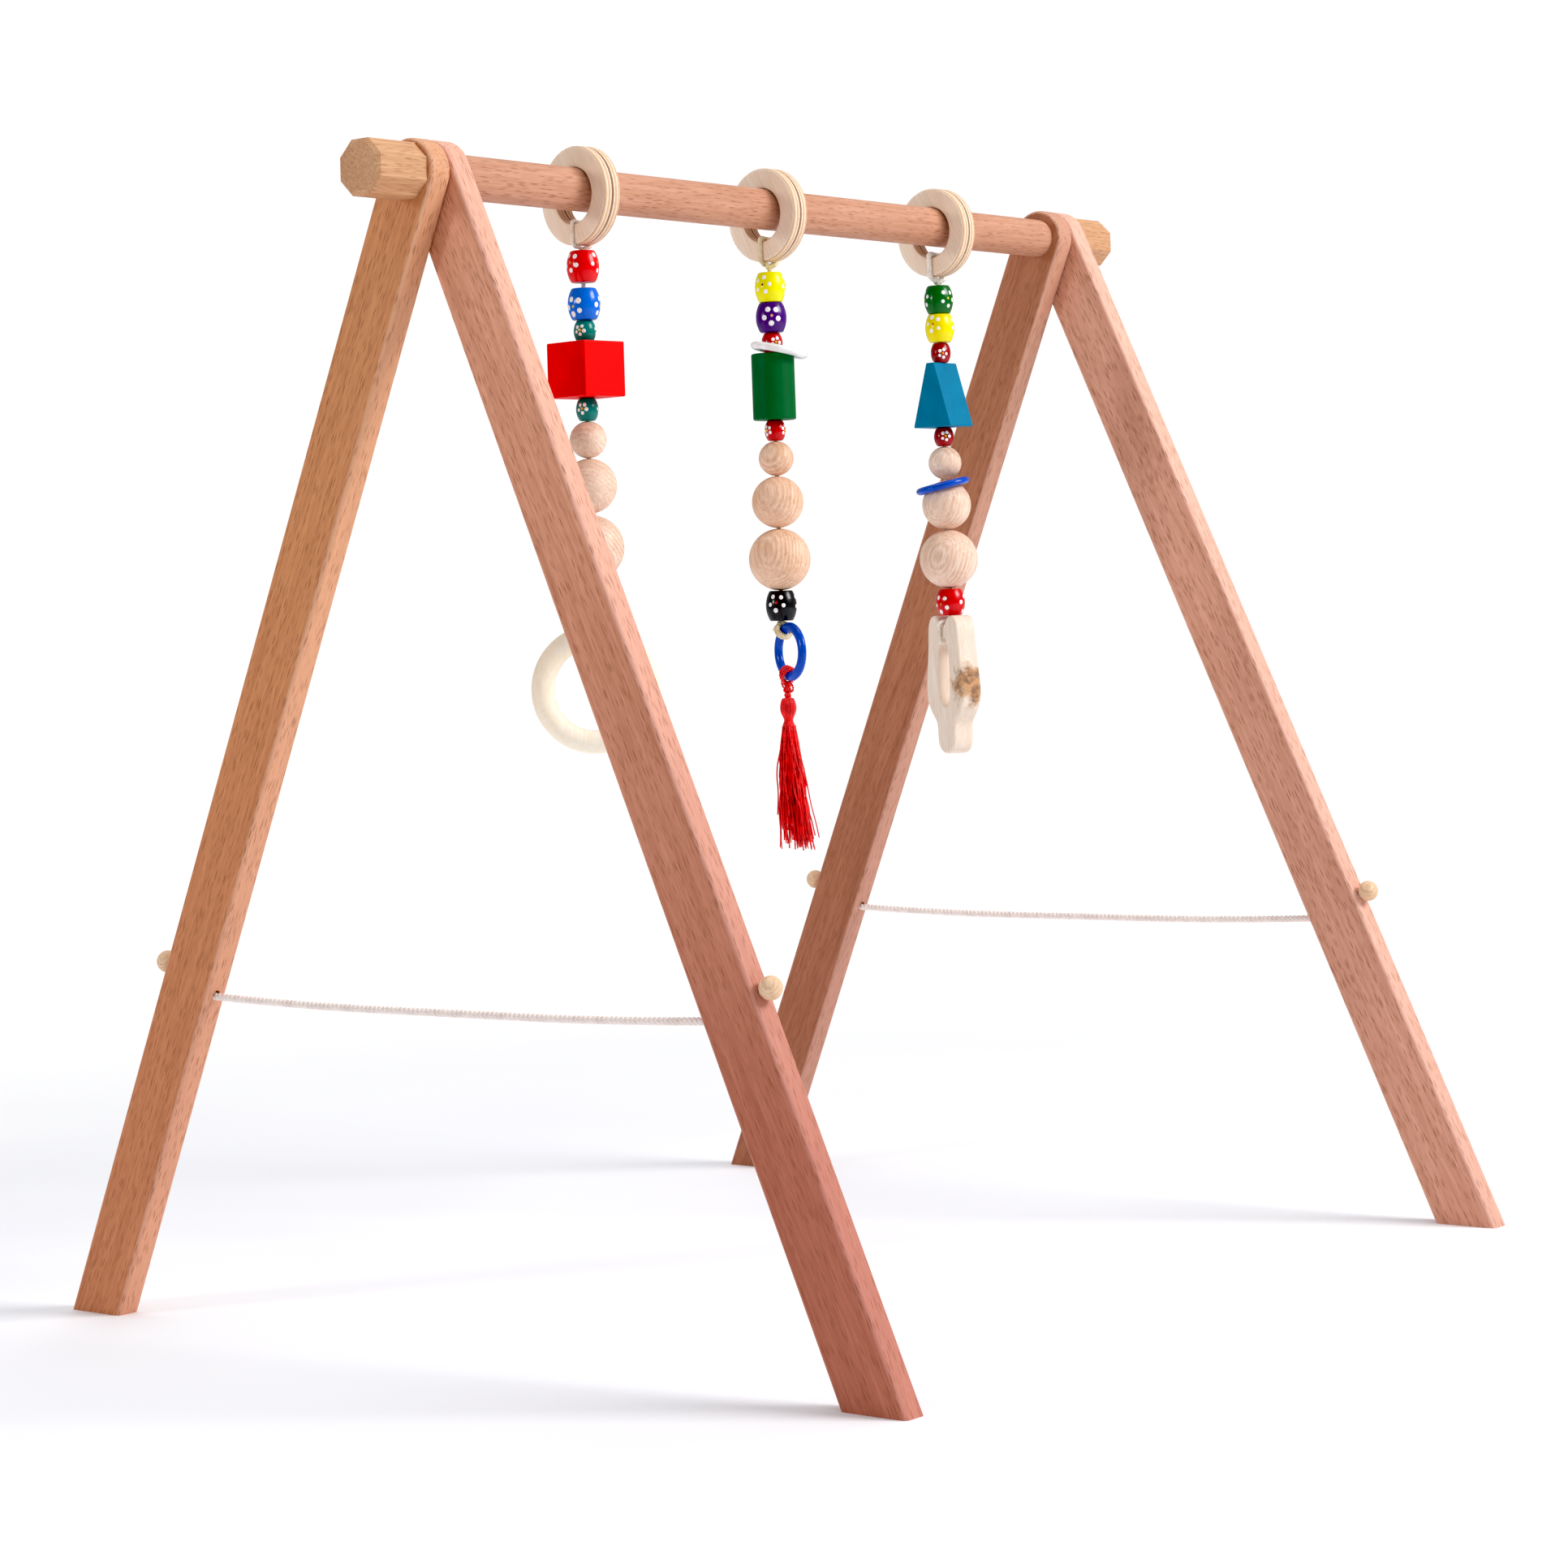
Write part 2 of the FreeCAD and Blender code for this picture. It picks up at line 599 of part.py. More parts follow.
def make_teether(index, notch_depth):
    """A flat wooden teether: two rounded lobes, a long slot and a short handle."""
    x = HANGER_X[index]
    shape = smooth_board(TEETHER_OUTLINE)
    slot = smooth_board(TEETHER_SLOT)
    shape = shape.cut(slot)
    rims = [
        e for e in shape.Edges
        if abs(abs(e.BoundBox.Center.x) - TEETHER_THICKNESS / 2) < 1e-4
        and e.BoundBox.XLength < 1e-4
    ]
    shape = shape.makeFillet(TEETHER_ROUND, rims)
    shape.translate(V(x, 0, below(notch_depth)))
    return yawed(shape, TEETHER_YAW, x)


def make_teether_loop(index, bead_bottom, notch_depth):
    """The cord loop that holds the teether, from the last bead through the slot."""
    radius = LOOP_CORD_RADIUS[index]
    side = TEETHER_THICKNESS / 2 + LOOP_CLEARANCE + radius
    knot = V(0, 0, -bead_bottom - TEETHER_KNOT_DROP)
    low = -notch_depth - TEETHER_BRIDGE - radius
    shoulder = TEETHER_SHOULDER_RISE - notch_depth
    points = [
        knot,
        V(side, 0, shoulder),
        V(side, 0, low),
        V(-side, 0, low),
        V(-side, 0, shoulder),
    ]
    loop = cord_loop(points, radius, LOOP_BEND)
    loop = loop.fuse(Part.makeSphere(TEETHER_KNOT_RADIUS, knot, X_AXIS))
    return hang(loop, index, TEETHER_YAW)


# ---- the three strings ----------------------------------------------------------------

def stack(index, entries):
    """Walk down a string: each entry is (name, height, maker)."""
    made = {}
    depth = STRING_TOP[index]
    for slack, (name, height, maker) in zip(STRING_SLACK[index], entries):
        depth += BEAD_GAP + slack
        made[f"h{index + 1}_{name}"] = maker(depth + height / 2)
        depth += height
    return made, depth


def barrel(index, name, height=BARREL_HEIGHT):
    maker = lambda d: make_barrel(index, d, height, BARREL_RADIUS, BARREL_END_RADIUS)
    return name, height, maker


def small(index, name, height=SMALL_HEIGHT):
    maker = lambda d: make_barrel(index, d, height, SMALL_RADIUS, SMALL_END_RADIUS)
    return name, height, maker


def balls(index):
    """The three plain balls that every string has, small to large."""
    sizes = (("small", SMALL_BALL), ("middle", MIDDLE_BALL), ("large", LARGE_BALL))
    return [
        (f"ball_{name}", 2 * radius, lambda d, r=radius: make_ball(index, d, r))
        for name, radius in sizes
    ]


def string_one():
    k = 0
    made, low = stack(k, [
        barrel(k, "barrel_red"),
        barrel(k, "barrel_blue"),
        small(k, "small_teal_upper"),
        ("cube_red", CUBE_SIDE, lambda d: make_cube(k, d)),
        small(k, "small_teal_lower", TEAL_LOWER_HEIGHT),
        *balls(k),
        barrel(k, "barrel_low"),
    ])
    tube = low + TEETHING_TUBE_DROP
    eye = make_eye(bead_centre(k, tube), TEETHING_RING_SECTION, CORD_RADIUS,
                   TEETHING_RING_YAW, 0)
    eye_top = tube - TEETHING_RING_SECTION - PENDANT_CLEARANCE - CORD_RADIUS
    made["h1_strand"] = make_strand(k, eye_top).fuse(eye)
    made["h1_loose_ring_blue"] = make_loose_ring(k, low, LOOSE_RING_ONE)
    made["h1_teething_ring"] = make_teething_ring(k, tube)
    return made


def string_two():
    k = 1
    made, low = stack(k, [
        barrel(k, "barrel_yellow"),
        barrel(k, "barrel_purple"),
        small(k, "small_red_upper"),
        ("cylinder_green", CYLINDER_HEIGHT, lambda d: make_cylinder(k, d)),
        small(k, "small_red_lower"),
        *balls(k),
        barrel(k, "barrel_black"),
    ])
    reach = LOOSE_RING_HALF_WIDTH + PENDANT_CLEARANCE + CORD_RADIUS
    eye_top = blue_ring_point(low, LOOSE_RING_RADIUS + reach, BLUE_RING_HANG)[1]
    made["h2_strand"] = make_strand(k, eye_top).fuse(make_pendant_eye(k, low))
    made["h2_loose_ring_white"] = make_loose_ring(k, 0, LOOSE_RING_TWO)
    made["h2_pendant_ring_blue"] = make_pendant_ring(k, low)
    made["h2_tassel_cord"] = make_tassel_cord(k, low)
    made["h2_tassel_head"] = make_tassel_head(k, low)
    made["h2_tassel_skirt"] = make_tassel_skirt(k, low)
    return made


def string_three():
    k = 2
    made, low = stack(k, [
        barrel(k, "barrel_green"),
        barrel(k, "barrel_yellow"),
        small(k, "small_red_upper", DARK_UPPER_HEIGHT),
        ("prism_turquoise", PRISM_HEIGHT, lambda d: make_prism(k, d)),
        small(k, "small_red_lower", DARK_LOWER_HEIGHT),
        *balls(k),
        barrel(k, "barrel_red", LAST_BARREL_HEIGHT),
    ])
    made["h3_strand"] = make_strand(k, low - TEETHER_STRAND_GAP)
    made["h3_loose_ring_blue"] = make_loose_ring(k, 0, LOOSE_RING_THREE)
    notch = low + TEETHER_NOTCH_DROP
    made["h3_teether"] = make_teether(k, notch)
    made["h3_teether_loop"] = make_teether_loop(k, low, notch)
    return made


def build():
    parts = {
        "crossbar": make_crossbar(),
        "end_cap_near": make_end_cap(-1),
        "end_cap_far": make_end_cap(1),
    }
    for side, place in ((-1, "near"), (1, "far")):
        parts["tie_cord_" + place] = make_tie_cord(side)
        for hand, name in ((1, "left"), (-1, "right")):
            parts[f"leg_{place}_{name}"] = make_leg(side, hand)
            parts[f"stopper_{place}_{name}"] = make_stopper(side, hand)
    for index in range(3):
        parts[f"h{index + 1}_ring"] = make_hanging_ring(index)
        parts[f"h{index + 1}_loop"] = make_loop(index)
    parts.update(string_one())
    parts.update(string_two())
    parts.update(string_three())
    return parts


os.makedirs("parts", exist_ok=True)
for node, shape in build().items():
    shape.exportStep(f"parts/{node}.step")
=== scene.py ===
import json
import math
import random

import bmesh
import bpy
import numpy as np
from mathutils import Matrix, Vector


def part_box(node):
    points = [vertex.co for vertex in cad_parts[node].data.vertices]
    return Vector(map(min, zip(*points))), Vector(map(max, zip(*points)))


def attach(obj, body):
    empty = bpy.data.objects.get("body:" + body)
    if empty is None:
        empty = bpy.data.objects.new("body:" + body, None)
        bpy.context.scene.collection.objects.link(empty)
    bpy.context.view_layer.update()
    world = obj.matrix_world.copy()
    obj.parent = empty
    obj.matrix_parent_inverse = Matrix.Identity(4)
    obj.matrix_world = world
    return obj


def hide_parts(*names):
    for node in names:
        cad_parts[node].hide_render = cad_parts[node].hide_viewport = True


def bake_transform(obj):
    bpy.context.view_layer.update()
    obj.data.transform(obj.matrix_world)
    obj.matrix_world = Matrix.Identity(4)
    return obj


# Looks of the wooden activity play gym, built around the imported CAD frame.
# Metres, +Z up, origin on the floor under the middle of the bar, +X along the bar.

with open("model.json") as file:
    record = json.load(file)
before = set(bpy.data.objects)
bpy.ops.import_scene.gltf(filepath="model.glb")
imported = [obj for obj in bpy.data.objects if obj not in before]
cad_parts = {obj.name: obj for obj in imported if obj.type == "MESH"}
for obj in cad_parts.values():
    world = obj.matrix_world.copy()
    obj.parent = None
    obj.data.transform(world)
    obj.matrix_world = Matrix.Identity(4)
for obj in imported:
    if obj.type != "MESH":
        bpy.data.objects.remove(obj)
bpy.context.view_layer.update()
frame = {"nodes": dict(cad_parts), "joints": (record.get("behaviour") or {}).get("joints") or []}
joints = {joint["name"]: joint for joint in frame["joints"]}

MM = 0.001
UP = Vector((0, 0, 1))
STRINGS = ("h1", "h2", "h3")

# Cords, in millimetres
LOOP_RADIUS = {"h1": 0.95, "h2": 1.25, "h3": 1.6}
LOOP_TOP_INSET = 1.0          # from the top of a loop to the middle of its cord
STRAND_RADIUS = 1.25          # the cord through the beads
STRAND_PITCH = 4              # length of one twist of it
EYE_CORD_RADIUS = 1.3         # the cord of the eyes at the foot of two strings
TEETHER_CORD_RADIUS = 1.1
TIE_CORD_RADIUS = 2.05
TIE_CORD_PITCH = 9
TIE_CORD_BEND = 42.7          # from the middle of a stopper to the bend inside the leg
TASSEL_CORD_RADIUS = 1.2
TASSEL_KNOT_DROPS = (3.0, 6.6)      # the tassel's knots below its eye
TURN_STEPS = 28               # stations round one turn of cord

# The rings at the foot of two strings: the joint they swing on, and their node
FOOT_RINGS = {
    "h1": ("swing_teething_ring", "h1_teething_ring"),
    "h2": ("swing_pendant_ring", "h2_pendant_ring_blue"),
}

# Beads and tassel
SMALL_BEAD_END = 0.68         # radius at a bead's ends, as a share of its widest radius
BARREL_BEAD_END = 0.735
HEAD_THREADS = 46
SKIRT_THREADS = 190

# Wood and light
FLECK_DENSITY = (900, 900, 105)     # flecks per metre, across the grain twice and along it
WORLD_LIGHT = 0.38
BACKDROP_WHITE = 1.05         # strength of the white that the camera sees
FLOOR_HALF = 9.0

# Camera
CAMERA_PLACE = Vector((-1.6507, -1.3020, 0.3743))
CAMERA_RIGHT = Vector((0.63617, -0.77082, -0.03361))
CAMERA_UP = Vector((-0.04122, -0.07746, 0.99614))
CAMERA_LENS = 82.3            # on a 36 mm sensor
CAMERA_SHIFT = (0.04956, -0.2925)
BLACK_LEVEL = 0.02
VIEW_ANGLE = 219.4            # about the direction from the gym to the camera, in degrees


# ---- small helpers ---------------------------------------------------------------------

def colour(code):
    """A screen colour code as linear red, green, blue and alpha."""
    screen = [int(code[i:i + 2], 16) / 255 for i in (1, 3, 5)]
    linear = [c / 12.92 if c <= 0.04045 else ((c + 0.055) / 1.055) ** 2.4 for c in screen]
    return linear + [1.0]


def middle(node):
    low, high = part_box(node)
    return (low + high) / 2


def joint_yaw(name):
    """Angle about Z of a level joint axis, in degrees."""
    axis = joints[name]["axis"]
    return math.degrees(math.atan2(axis[1], axis[0]))


def turned_axes(yaw):
    """Along and across directions of a piece turned by yaw degrees about Z."""
    angle = math.radians(yaw)
    along = Vector((math.cos(angle), math.sin(angle), 0))
    return along, UP.cross(along)


def spans(node, yaw):
    """Lowest and highest distances of a node along its own turned axes, from its middle."""
    along, across = turned_axes(yaw)
    turn = Matrix((along, across, UP))
    centre = middle(node)
    places = [turn @ (v.co - centre) for v in frame["nodes"][node].data.vertices]
    low = Vector([min(p[k] for p in places) for k in range(3)])
    high = Vector([max(p[k] for p in places) for k in range(3)])
    return low, high


# ---- material graphs -------------------------------------------------------------------

class Graph:
    """A short way to write one material's nodes."""

    def __init__(self, name):
        self.material = bpy.data.materials.new(name)
        self.material.use_nodes = True
        self.tree = self.material.node_tree
        self.shader = self.tree.nodes["Principled BSDF"]

    def put(self, socket, value):
        if isinstance(value, bpy.types.NodeSocket):
            self.tree.links.new(value, socket)
        else:
            socket.default_value = value

    def node(self, kind, inputs, **settings):
        made = self.tree.nodes.new("ShaderNode" + kind)
        for key, value in settings.items():
            setattr(made, key, value)
        for key, value in inputs.items():
            self.put(made.inputs[key], value)
        return made

    def math(self, operation, a, b=0.0, c=0.0):
        return self.node("Math", {0: a, 1: b, 2: c}, operation=operation).outputs[0]

    def vector(self, operation, a, b):
        made = self.node("VectorMath", {0: a, 1: b}, operation=operation)
        return made.outputs["Value" if operation in ("LENGTH", "DOT_PRODUCT") else "Vector"]

    def noise(self, vector, scale, detail=2.0, distortion=0.0):
        made = self.node("TexNoise", {"Vector": vector, "Scale": scale, "Detail": detail,
                                      "Distortion": distortion})
        return made.outputs["Fac"]

    def spread(self, value, low, high, to_low=0.0, to_high=1.0):
        made = self.node("MapRange", {"Value": value, "From Min": low, "From Max": high,
                                      "To Min": to_low, "To Max": to_high})
        return made.outputs["Result"]

    def ramp(self, value, stops):
        made = self.node("ValToRGB", {"Fac": value})
        elements = made.color_ramp.elements
        while len(elements) < len(stops):
            elements.new(0.5)
        for element, (place, code) in zip(elements, stops):
            element.position = place
            element.color = colour(code)
        return made.outputs["Color"]

    def mix(self, share, a, b, blend="MIX"):
        made = self.tree.nodes.new("ShaderNodeMix")
        made.data_type = "RGBA"
        made.blend_type = blend
        self.put(made.inputs[0], share)
        self.put(made.inputs[6], a)
        self.put(made.inputs[7], b)
        return made.outputs[2]

    def place(self, centre=(0, 0, 0)):
        """Coordinates on the piece, in metres from centre."""
        base = self.node("TexCoord", {}).outputs["Object"]
        return self.vector("SUBTRACT", base, tuple(centre))

    def grain_place(self, centre, grain, seed):
        """Coordinates with Z along the grain, moved by the seed so that no two pieces match."""
        grain = Vector(grain).normalized()
        axis = grain.cross(UP)
        angle = grain.angle(UP)
        if axis.length < 1e-6:
            axis = Vector((1, 0, 0))
        turned = self.node("VectorRotate", {"Vector": self.place(centre), "Axis": tuple(axis),
                                            "Angle": angle}, rotation_type="AXIS_ANGLE")
        return self.vector("ADD", turned.outputs[0], (0.0, 0.0, 0.37 * seed))

    def bump(self, height, distance, strength):
        made = self.node("Bump", {"Height": height, "Distance": distance, "Strength": strength})
        self.put(self.shader.inputs["Normal"], made.outputs[0])

    def surface(self, base, roughness, **more):
        self.put(self.shader.inputs["Base Color"], base)
        self.put(self.shader.inputs["Roughness"], roughness)
        names = {"coat": "Coat Weight", "coat_roughness": "Coat Roughness",
                 "sheen": "Sheen Weight", "specular": "Specular IOR Level"}
        for key, value in more.items():
            self.put(self.shader.inputs[names[key]], value)
        return self.material


def wood(name, deep, pale, fleck, grain, centre=(0, 0, 0), seed=0, period=4 * MM,
         pith=(60 * MM, 25 * MM), rings=0.3, flecks=0.5,
         broad=0.3, roughness=0.5, stain_or_painted_light=None):
    """Bare wood: growth rings round an axis beside the piece, fine fibres and short flecks."""
    g = Graph(name)
    p = g.grain_place(centre, grain, seed)
    long_p = g.vector("MULTIPLY", p, (1, 1, 0.2))
    fibre_p = g.vector("MULTIPLY", p, (1, 1, 0.04))
    tone = g.noise(long_p, 26 + seed, 4)
    fibre = g.noise(fibre_p, 1500, 3)
    strand = g.noise(fibre_p, 420, 3)
    flat = g.vector("MULTIPLY", g.vector("ADD", p, (pith[0], pith[1], 0)), (1, 1, 0))
    reach = g.vector("LENGTH", flat, (0, 0, 0))
    warp = g.math("MULTIPLY", g.noise(long_p, 38, 3), 9 * MM)
    wave = g.math("SINE", g.math("MULTIPLY", g.math("ADD", reach, warp), 2 * math.pi / period))
    uneven = g.spread(g.noise(p, 60, 2), 0.35, 0.65)
    level = g.math("MULTIPLY_ADD", g.math("SUBTRACT", tone, 0.5), broad * 2.4, 0.5)
    level = g.math("MULTIPLY_ADD", g.math("MULTIPLY", wave, uneven), rings * 0.5, level)
    level = g.math("MULTIPLY_ADD", g.math("SUBTRACT", fibre, 0.5), 0.9, level)
    level = g.math("MULTIPLY_ADD", g.math("SUBTRACT", strand, 0.5), 0.8, level)
    base = g.ramp(level, ((0.0, deep), (1.0, pale)))
    # the extra layer is a real mark on the teether (its knot) and painted light on the legs
    # (painted highlight on their narrow sides)
    if stain_or_painted_light:
        base = stain_or_painted_light(g, base)
    cells = g.node("TexVoronoi", {"Vector": g.vector("MULTIPLY", p, FLECK_DENSITY), "Scale": 1.0,
                                  "Randomness": 1.0})
    lens = g.spread(cells.outputs["Distance"], 0.2, 0.42, 1.0, 0.0)
    chance = g.spread(g.vector("LENGTH", cells.outputs["Color"], (0, 0, 0)), 0.55, 1.1)
    mark = g.math("MULTIPLY", lens, chance)
    base = g.mix(g.math("MULTIPLY", mark, flecks), base, colour(fleck))
    height = g.math("SUBTRACT", g.math("MULTIPLY", fibre, 0.6), g.math("MULTIPLY", mark, 0.5))
    g.bump(height, 0.12 * MM, 0.5)
    rough = g.math("MULTIPLY_ADD", strand, 0.16, roughness - 0.08)
    return g.surface(base, rough, specular=0.22)


def painted_highlight_sides(lit_side_code, foot_code):
    """Painted highlight that lightens the narrow sides and rounded arrises of a leg where light
    falls on them, and tones the wood towards its foot.
    """
    def stain_or_painted_light(g, base):
        facing = g.node("SeparateXYZ", {0: g.node("TexCoord", {}).outputs["Normal"]}).outputs[0]
        flat = g.math("ABSOLUTE", facing)
        # painted highlight: the narrow sides, whose normals turn away from X, lightened towards the
        # side colour
        base = g.mix(g.spread(flat, 0.98, 0.6, 0.0, 0.4), base, colour(lit_side_code))
        # painted highlight along the rounded arris between the wide and narrow faces
        lit_arris = g.math("MULTIPLY", g.spread(flat, 0.99, 0.9), g.spread(flat, 0.3, 0.6))
        base = g.mix(g.math("MULTIPLY", lit_arris, 0.35), base, colour(lit_side_code))
        height = g.node("SeparateXYZ", {0: g.place()}).outputs[2]
        return g.mix(g.spread(height, 0.42, 0.12), base, colour(foot_code), "MULTIPLY")
    return stain_or_painted_light


def plywood(name, centre, axis):
    """Birch plywood: pale faces and thin plies with dark glue lines seen on the rim."""
    g = Graph(name)
    across = g.vector("DOT_PRODUCT", g.place(centre), tuple(axis))
    layer = 2.4 * MM
    shifted = g.math("ADD", g.math("SUBTRACT", across, 6 * MM), layer * 40.25)
    ply = g.math("FRACT", g.math("DIVIDE", shifted, layer))
    bands = g.ramp(ply, ((0.0, "#B48C68"), (0.06, "#FCE8D4"), (0.44, "#FEECD8"), (0.5, "#B48C68"),
                         (0.58, "#E2BE9A"), (0.94, "#E6C4A0")))
    seam = g.spread(g.math("ABSOLUTE", across), 0.3 * MM, 0.8 * MM, 0.75, 0.0)
    bands = g.mix(seam, bands, colour("#7E5A3C"))
    side = UP.cross(Vector(axis))
    p = g.grain_place(centre, side * 0.5 + UP, len(name))
    fine = g.noise(g.vector("MULTIPLY", p, (1, 1, 0.05)), 900, 3)
    broad = g.noise(g.vector("MULTIPLY", p, (1, 1, 0.2)), 60, 3)
    shade = g.math("ADD", g.math("MULTIPLY", fine, 0.5), g.math("MULTIPLY", broad, 0.5))
    grey = g.ramp(shade, ((0.3, "#DCC8B2"), (0.7, "#FFFFFF")))
    base = g.mix(0.6, bands, grey, "MULTIPLY")
    g.bump(g.math("ADD", fine, g.math("MULTIPLY", ply, 0.4)), 0.15 * MM, 0.5)
    return g.surface(base, g.math("MULTIPLY_ADD", fine, 0.2, 0.48), specular=0.3)


def paint(name, code, centre, roughness=0.32, coat=0.4, grain=0.0, dark=0.82):
    """Lacquer paint on wood: slight colour drift, soft brush relief, grain when it is thin."""
    g = Graph(name)
    p = g.place(centre)
    drift = g.noise(p, 90, 3)
    speck = g.noise(p, 900, 2)
    lines = g.noise(g.vector("MULTIPLY", p, (1, 1, 0.05)), 700, 2)
    full = colour(code)
    shade = [c * dark for c in full[:3]] + [1.0]
    base = g.mix(g.spread(drift, 0.3, 0.7), shade, full)
    worn = g.math("MULTIPLY", g.spread(lines, 0.6, 0.8), grain)
    base = g.mix(worn, base, [min(1.0, c * 1.5 + 0.01) for c in full[:3]] + [1.0])
    height = g.math("ADD", g.math("MULTIPLY", drift, 0.5), g.math("MULTIPLY", lines, grain))
    g.bump(g.math("ADD", height, g.math("MULTIPLY", speck, 0.08)), 0.25 * MM, 0.35)
    rough = g.math("MULTIPLY_ADD", speck, 0.12, roughness - 0.06)
    return g.surface(base, rough, specular=0.2, coat=coat, coat_roughness=0.09)


def plastic(name, code, centre):
    """Glossy moulded plastic with a faint flow pattern and a fine mould texture."""
    g = Graph(name)
    p = g.place(centre)
    flow = g.noise(p, 60, 2, 0.8)
    fine = g.noise(p, 1500, 2)
    full = colour(code)
    shade = [c * 0.78 for c in full[:3]] + [1.0]
    base = g.mix(g.spread(flow, 0.35, 0.65), shade, full)
    g.bump(g.math("ADD", flow, g.math("MULTIPLY", fine, 0.1)), 0.2 * MM, 0.25)
    gloss = g.math("MULTIPLY_ADD", fine, 0.1, 0.16)
    return g.surface(base, gloss, specular=0.3, coat=0.15, coat_roughness=0.05)


def cotton(name, pale, deep):
    """Undyed cotton cord: soft fibres and small stains."""
    g = Graph(name)
    p = g.place()
    fuzz = g.noise(p, 2600, 3)
    stain_or_painted_light = g.noise(p, 140, 3)
    base = g.ramp(g.math("MULTIPLY_ADD", stain_or_painted_light, 0.7, g.math("MULTIPLY", fuzz, 0.4)),
                  ((0.25, deep), (0.6, pale)))
    g.bump(fuzz, 0.3 * MM, 0.6)
    return g.surface(base, 0.92, sheen=0.4, specular=0.1)


def thread(name, bright, deep):
    """Shiny dyed thread; its deeper red, laid in patches and streaks, is partly tone that varies
    between threads and partly painted shade for the depth of the bundle.
    """
    g = Graph(name)
    p = g.place()
    fibre = g.noise(g.vector("MULTIPLY", p, (1, 1, 0.08)), 1800, 3)
    broad = g.noise(p, 220, 2)
    level = g.math("ADD", g.math("MULTIPLY", fibre, 0.5), g.math("MULTIPLY", broad, 0.6))
    # the deep colour is partly painted shade standing for the shade between threads
    base = g.ramp(level, ((0.3, deep), (0.65, bright)))
    g.bump(fibre, 0.2 * MM, 0.5)
    return g.surface(base, g.math("MULTIPLY_ADD", fibre, 0.3, 0.3), sheen=0.3, specular=0.4)


# ---- mesh helpers ----------------------------------------------------------------------

def new_piece(name, bm, materials, body):
    """Make an object of a mesh under construction and let it ride on a body."""
    mesh = bpy.data.meshes.new(name)
    bmesh.ops.recalc_face_normals(bm, faces=bm.faces)
    bm.to_mesh(mesh)
    bm.free()
    mesh.shade_smooth()
    for material in materials:
        mesh.materials.append(material)
    piece = bpy.data.objects.new(name, mesh)
    bpy.context.scene.collection.objects.link(piece)
    if body:
        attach(piece, body)
    return piece


def smooth_path(points, spacing):
    """A smooth curve through the points, as evenly spaced stations."""
    points = [Vector(p) for p in points]
    last = len(points) - 1
    dense = []
    for i in range(last):
        a, b, c, d = (points[min(max(k, 0), last)] for k in (i - 1, i, i + 1, i + 2))
        steps = 2 + int((c - b).length / spacing * 3)
        for k in range(steps):
            t = k / steps
            bend = (2 * a - 5 * b + 4 * c - d) * t * t + (3 * b - a - 3 * c + d) * t ** 3
            dense.append(0.5 * (2 * b + (c - a) * t + bend))
    dense.append(points[-1])
    line = np.array(dense)
    lengths = np.concatenate(([0], np.cumsum(np.linalg.norm(np.diff(line, axis=0), axis=1))))
    count = max(3, int(round(lengths[-1] / spacing)) + 1)
    places = np.linspace(0, lengths[-1], count)
    return [Vector([np.interp(s, lengths, line[:, k]) for k in range(3)]) for s in places]


def frames(points):
    """Two directions across a path at each of its stations, carried along without twist."""
    last = len(points) - 1
    made = []
    normal = None
    for i in range(last + 1):
        tangent = (points[min(i + 1, last)] - points[max(i - 1, 0)]).normalized()
        if normal is None:
            normal = tangent.orthogonal()
        normal = (normal - tangent * normal.dot(tangent)).normalized()
        made.append((normal.copy(), tangent.cross(normal)))
    return made


def tube(bm, points, radii, sides):
    """A closed tube round a path, with its own radius at each station."""
    rings = []
    for point, radius, (normal, side) in zip(points, radii, frames(points)):
        ring = []
        for k in range(sides):
            angle = 2 * math.pi * k / sides
            outward = normal * math.cos(angle) + side * math.sin(angle)
            ring.append(bm.verts.new(point + outward * radius))
        rings.append(ring)
    for a, b in zip(rings, rings[1:]):
        for k in range(sides):
            n = (k + 1) % sides
            bm.faces.new((a[k], a[n], b[n], b[k]))
    bm.faces.new(rings[0])
    bm.faces.new(rings[-1])


def rope(bm, points, radius, pitch, plies, sides):
    """A twisted cord: plies wound round a path."""
    path = smooth_path(points, pitch / 9)
    spacing = (path[1] - path[0]).length
    across = frames(path)
    offset = radius * 0.5
    for ply in range(plies):
        line = []
        for i, (point, (normal, side)) in enumerate(zip(path, across)):
            angle = 2 * math.pi * (ply / plies + i * spacing / pitch)
            line.append(point + (normal * math.cos(angle) + side * math.sin(angle)) * offset)
        tube(bm, line, [radius * 0.54] * len(line), sides)


def knot_path(centre, size, along, across):
    """A trefoil curve: the run of a cord through a pulled overhand knot."""
    points = []
    for k in range(25):
        t = 2 * math.pi * k / 24
        x = (math.sin(t) + 2 * math.sin(2 * t)) / 3
        y = -math.sin(3 * t) / 2.2
        z = (math.cos(t) - 2 * math.cos(2 * t)) / 3
        points.append(centre + (along * x + across * y + UP * z) * size)
    return points


def frayed_end(bm, start, direction, length, count, rng, radius=0.16 * MM):
    """Loose fibres that splay from a cut cord end."""
    for _ in range(count):
        spread = Vector([rng.uniform(-1, 1) for _ in range(3)])
        tip = start + direction * length * rng.uniform(0.7, 1.1) + spread * length * 0.4
        bend = (start + tip) / 2 + spread * length * 0.12
        path = smooth_path((start, bend, tip), length / 6)
        tube(bm, path, [radius] * len(path), 4)


# ---- floor, light and camera -----------------------------------------------------------

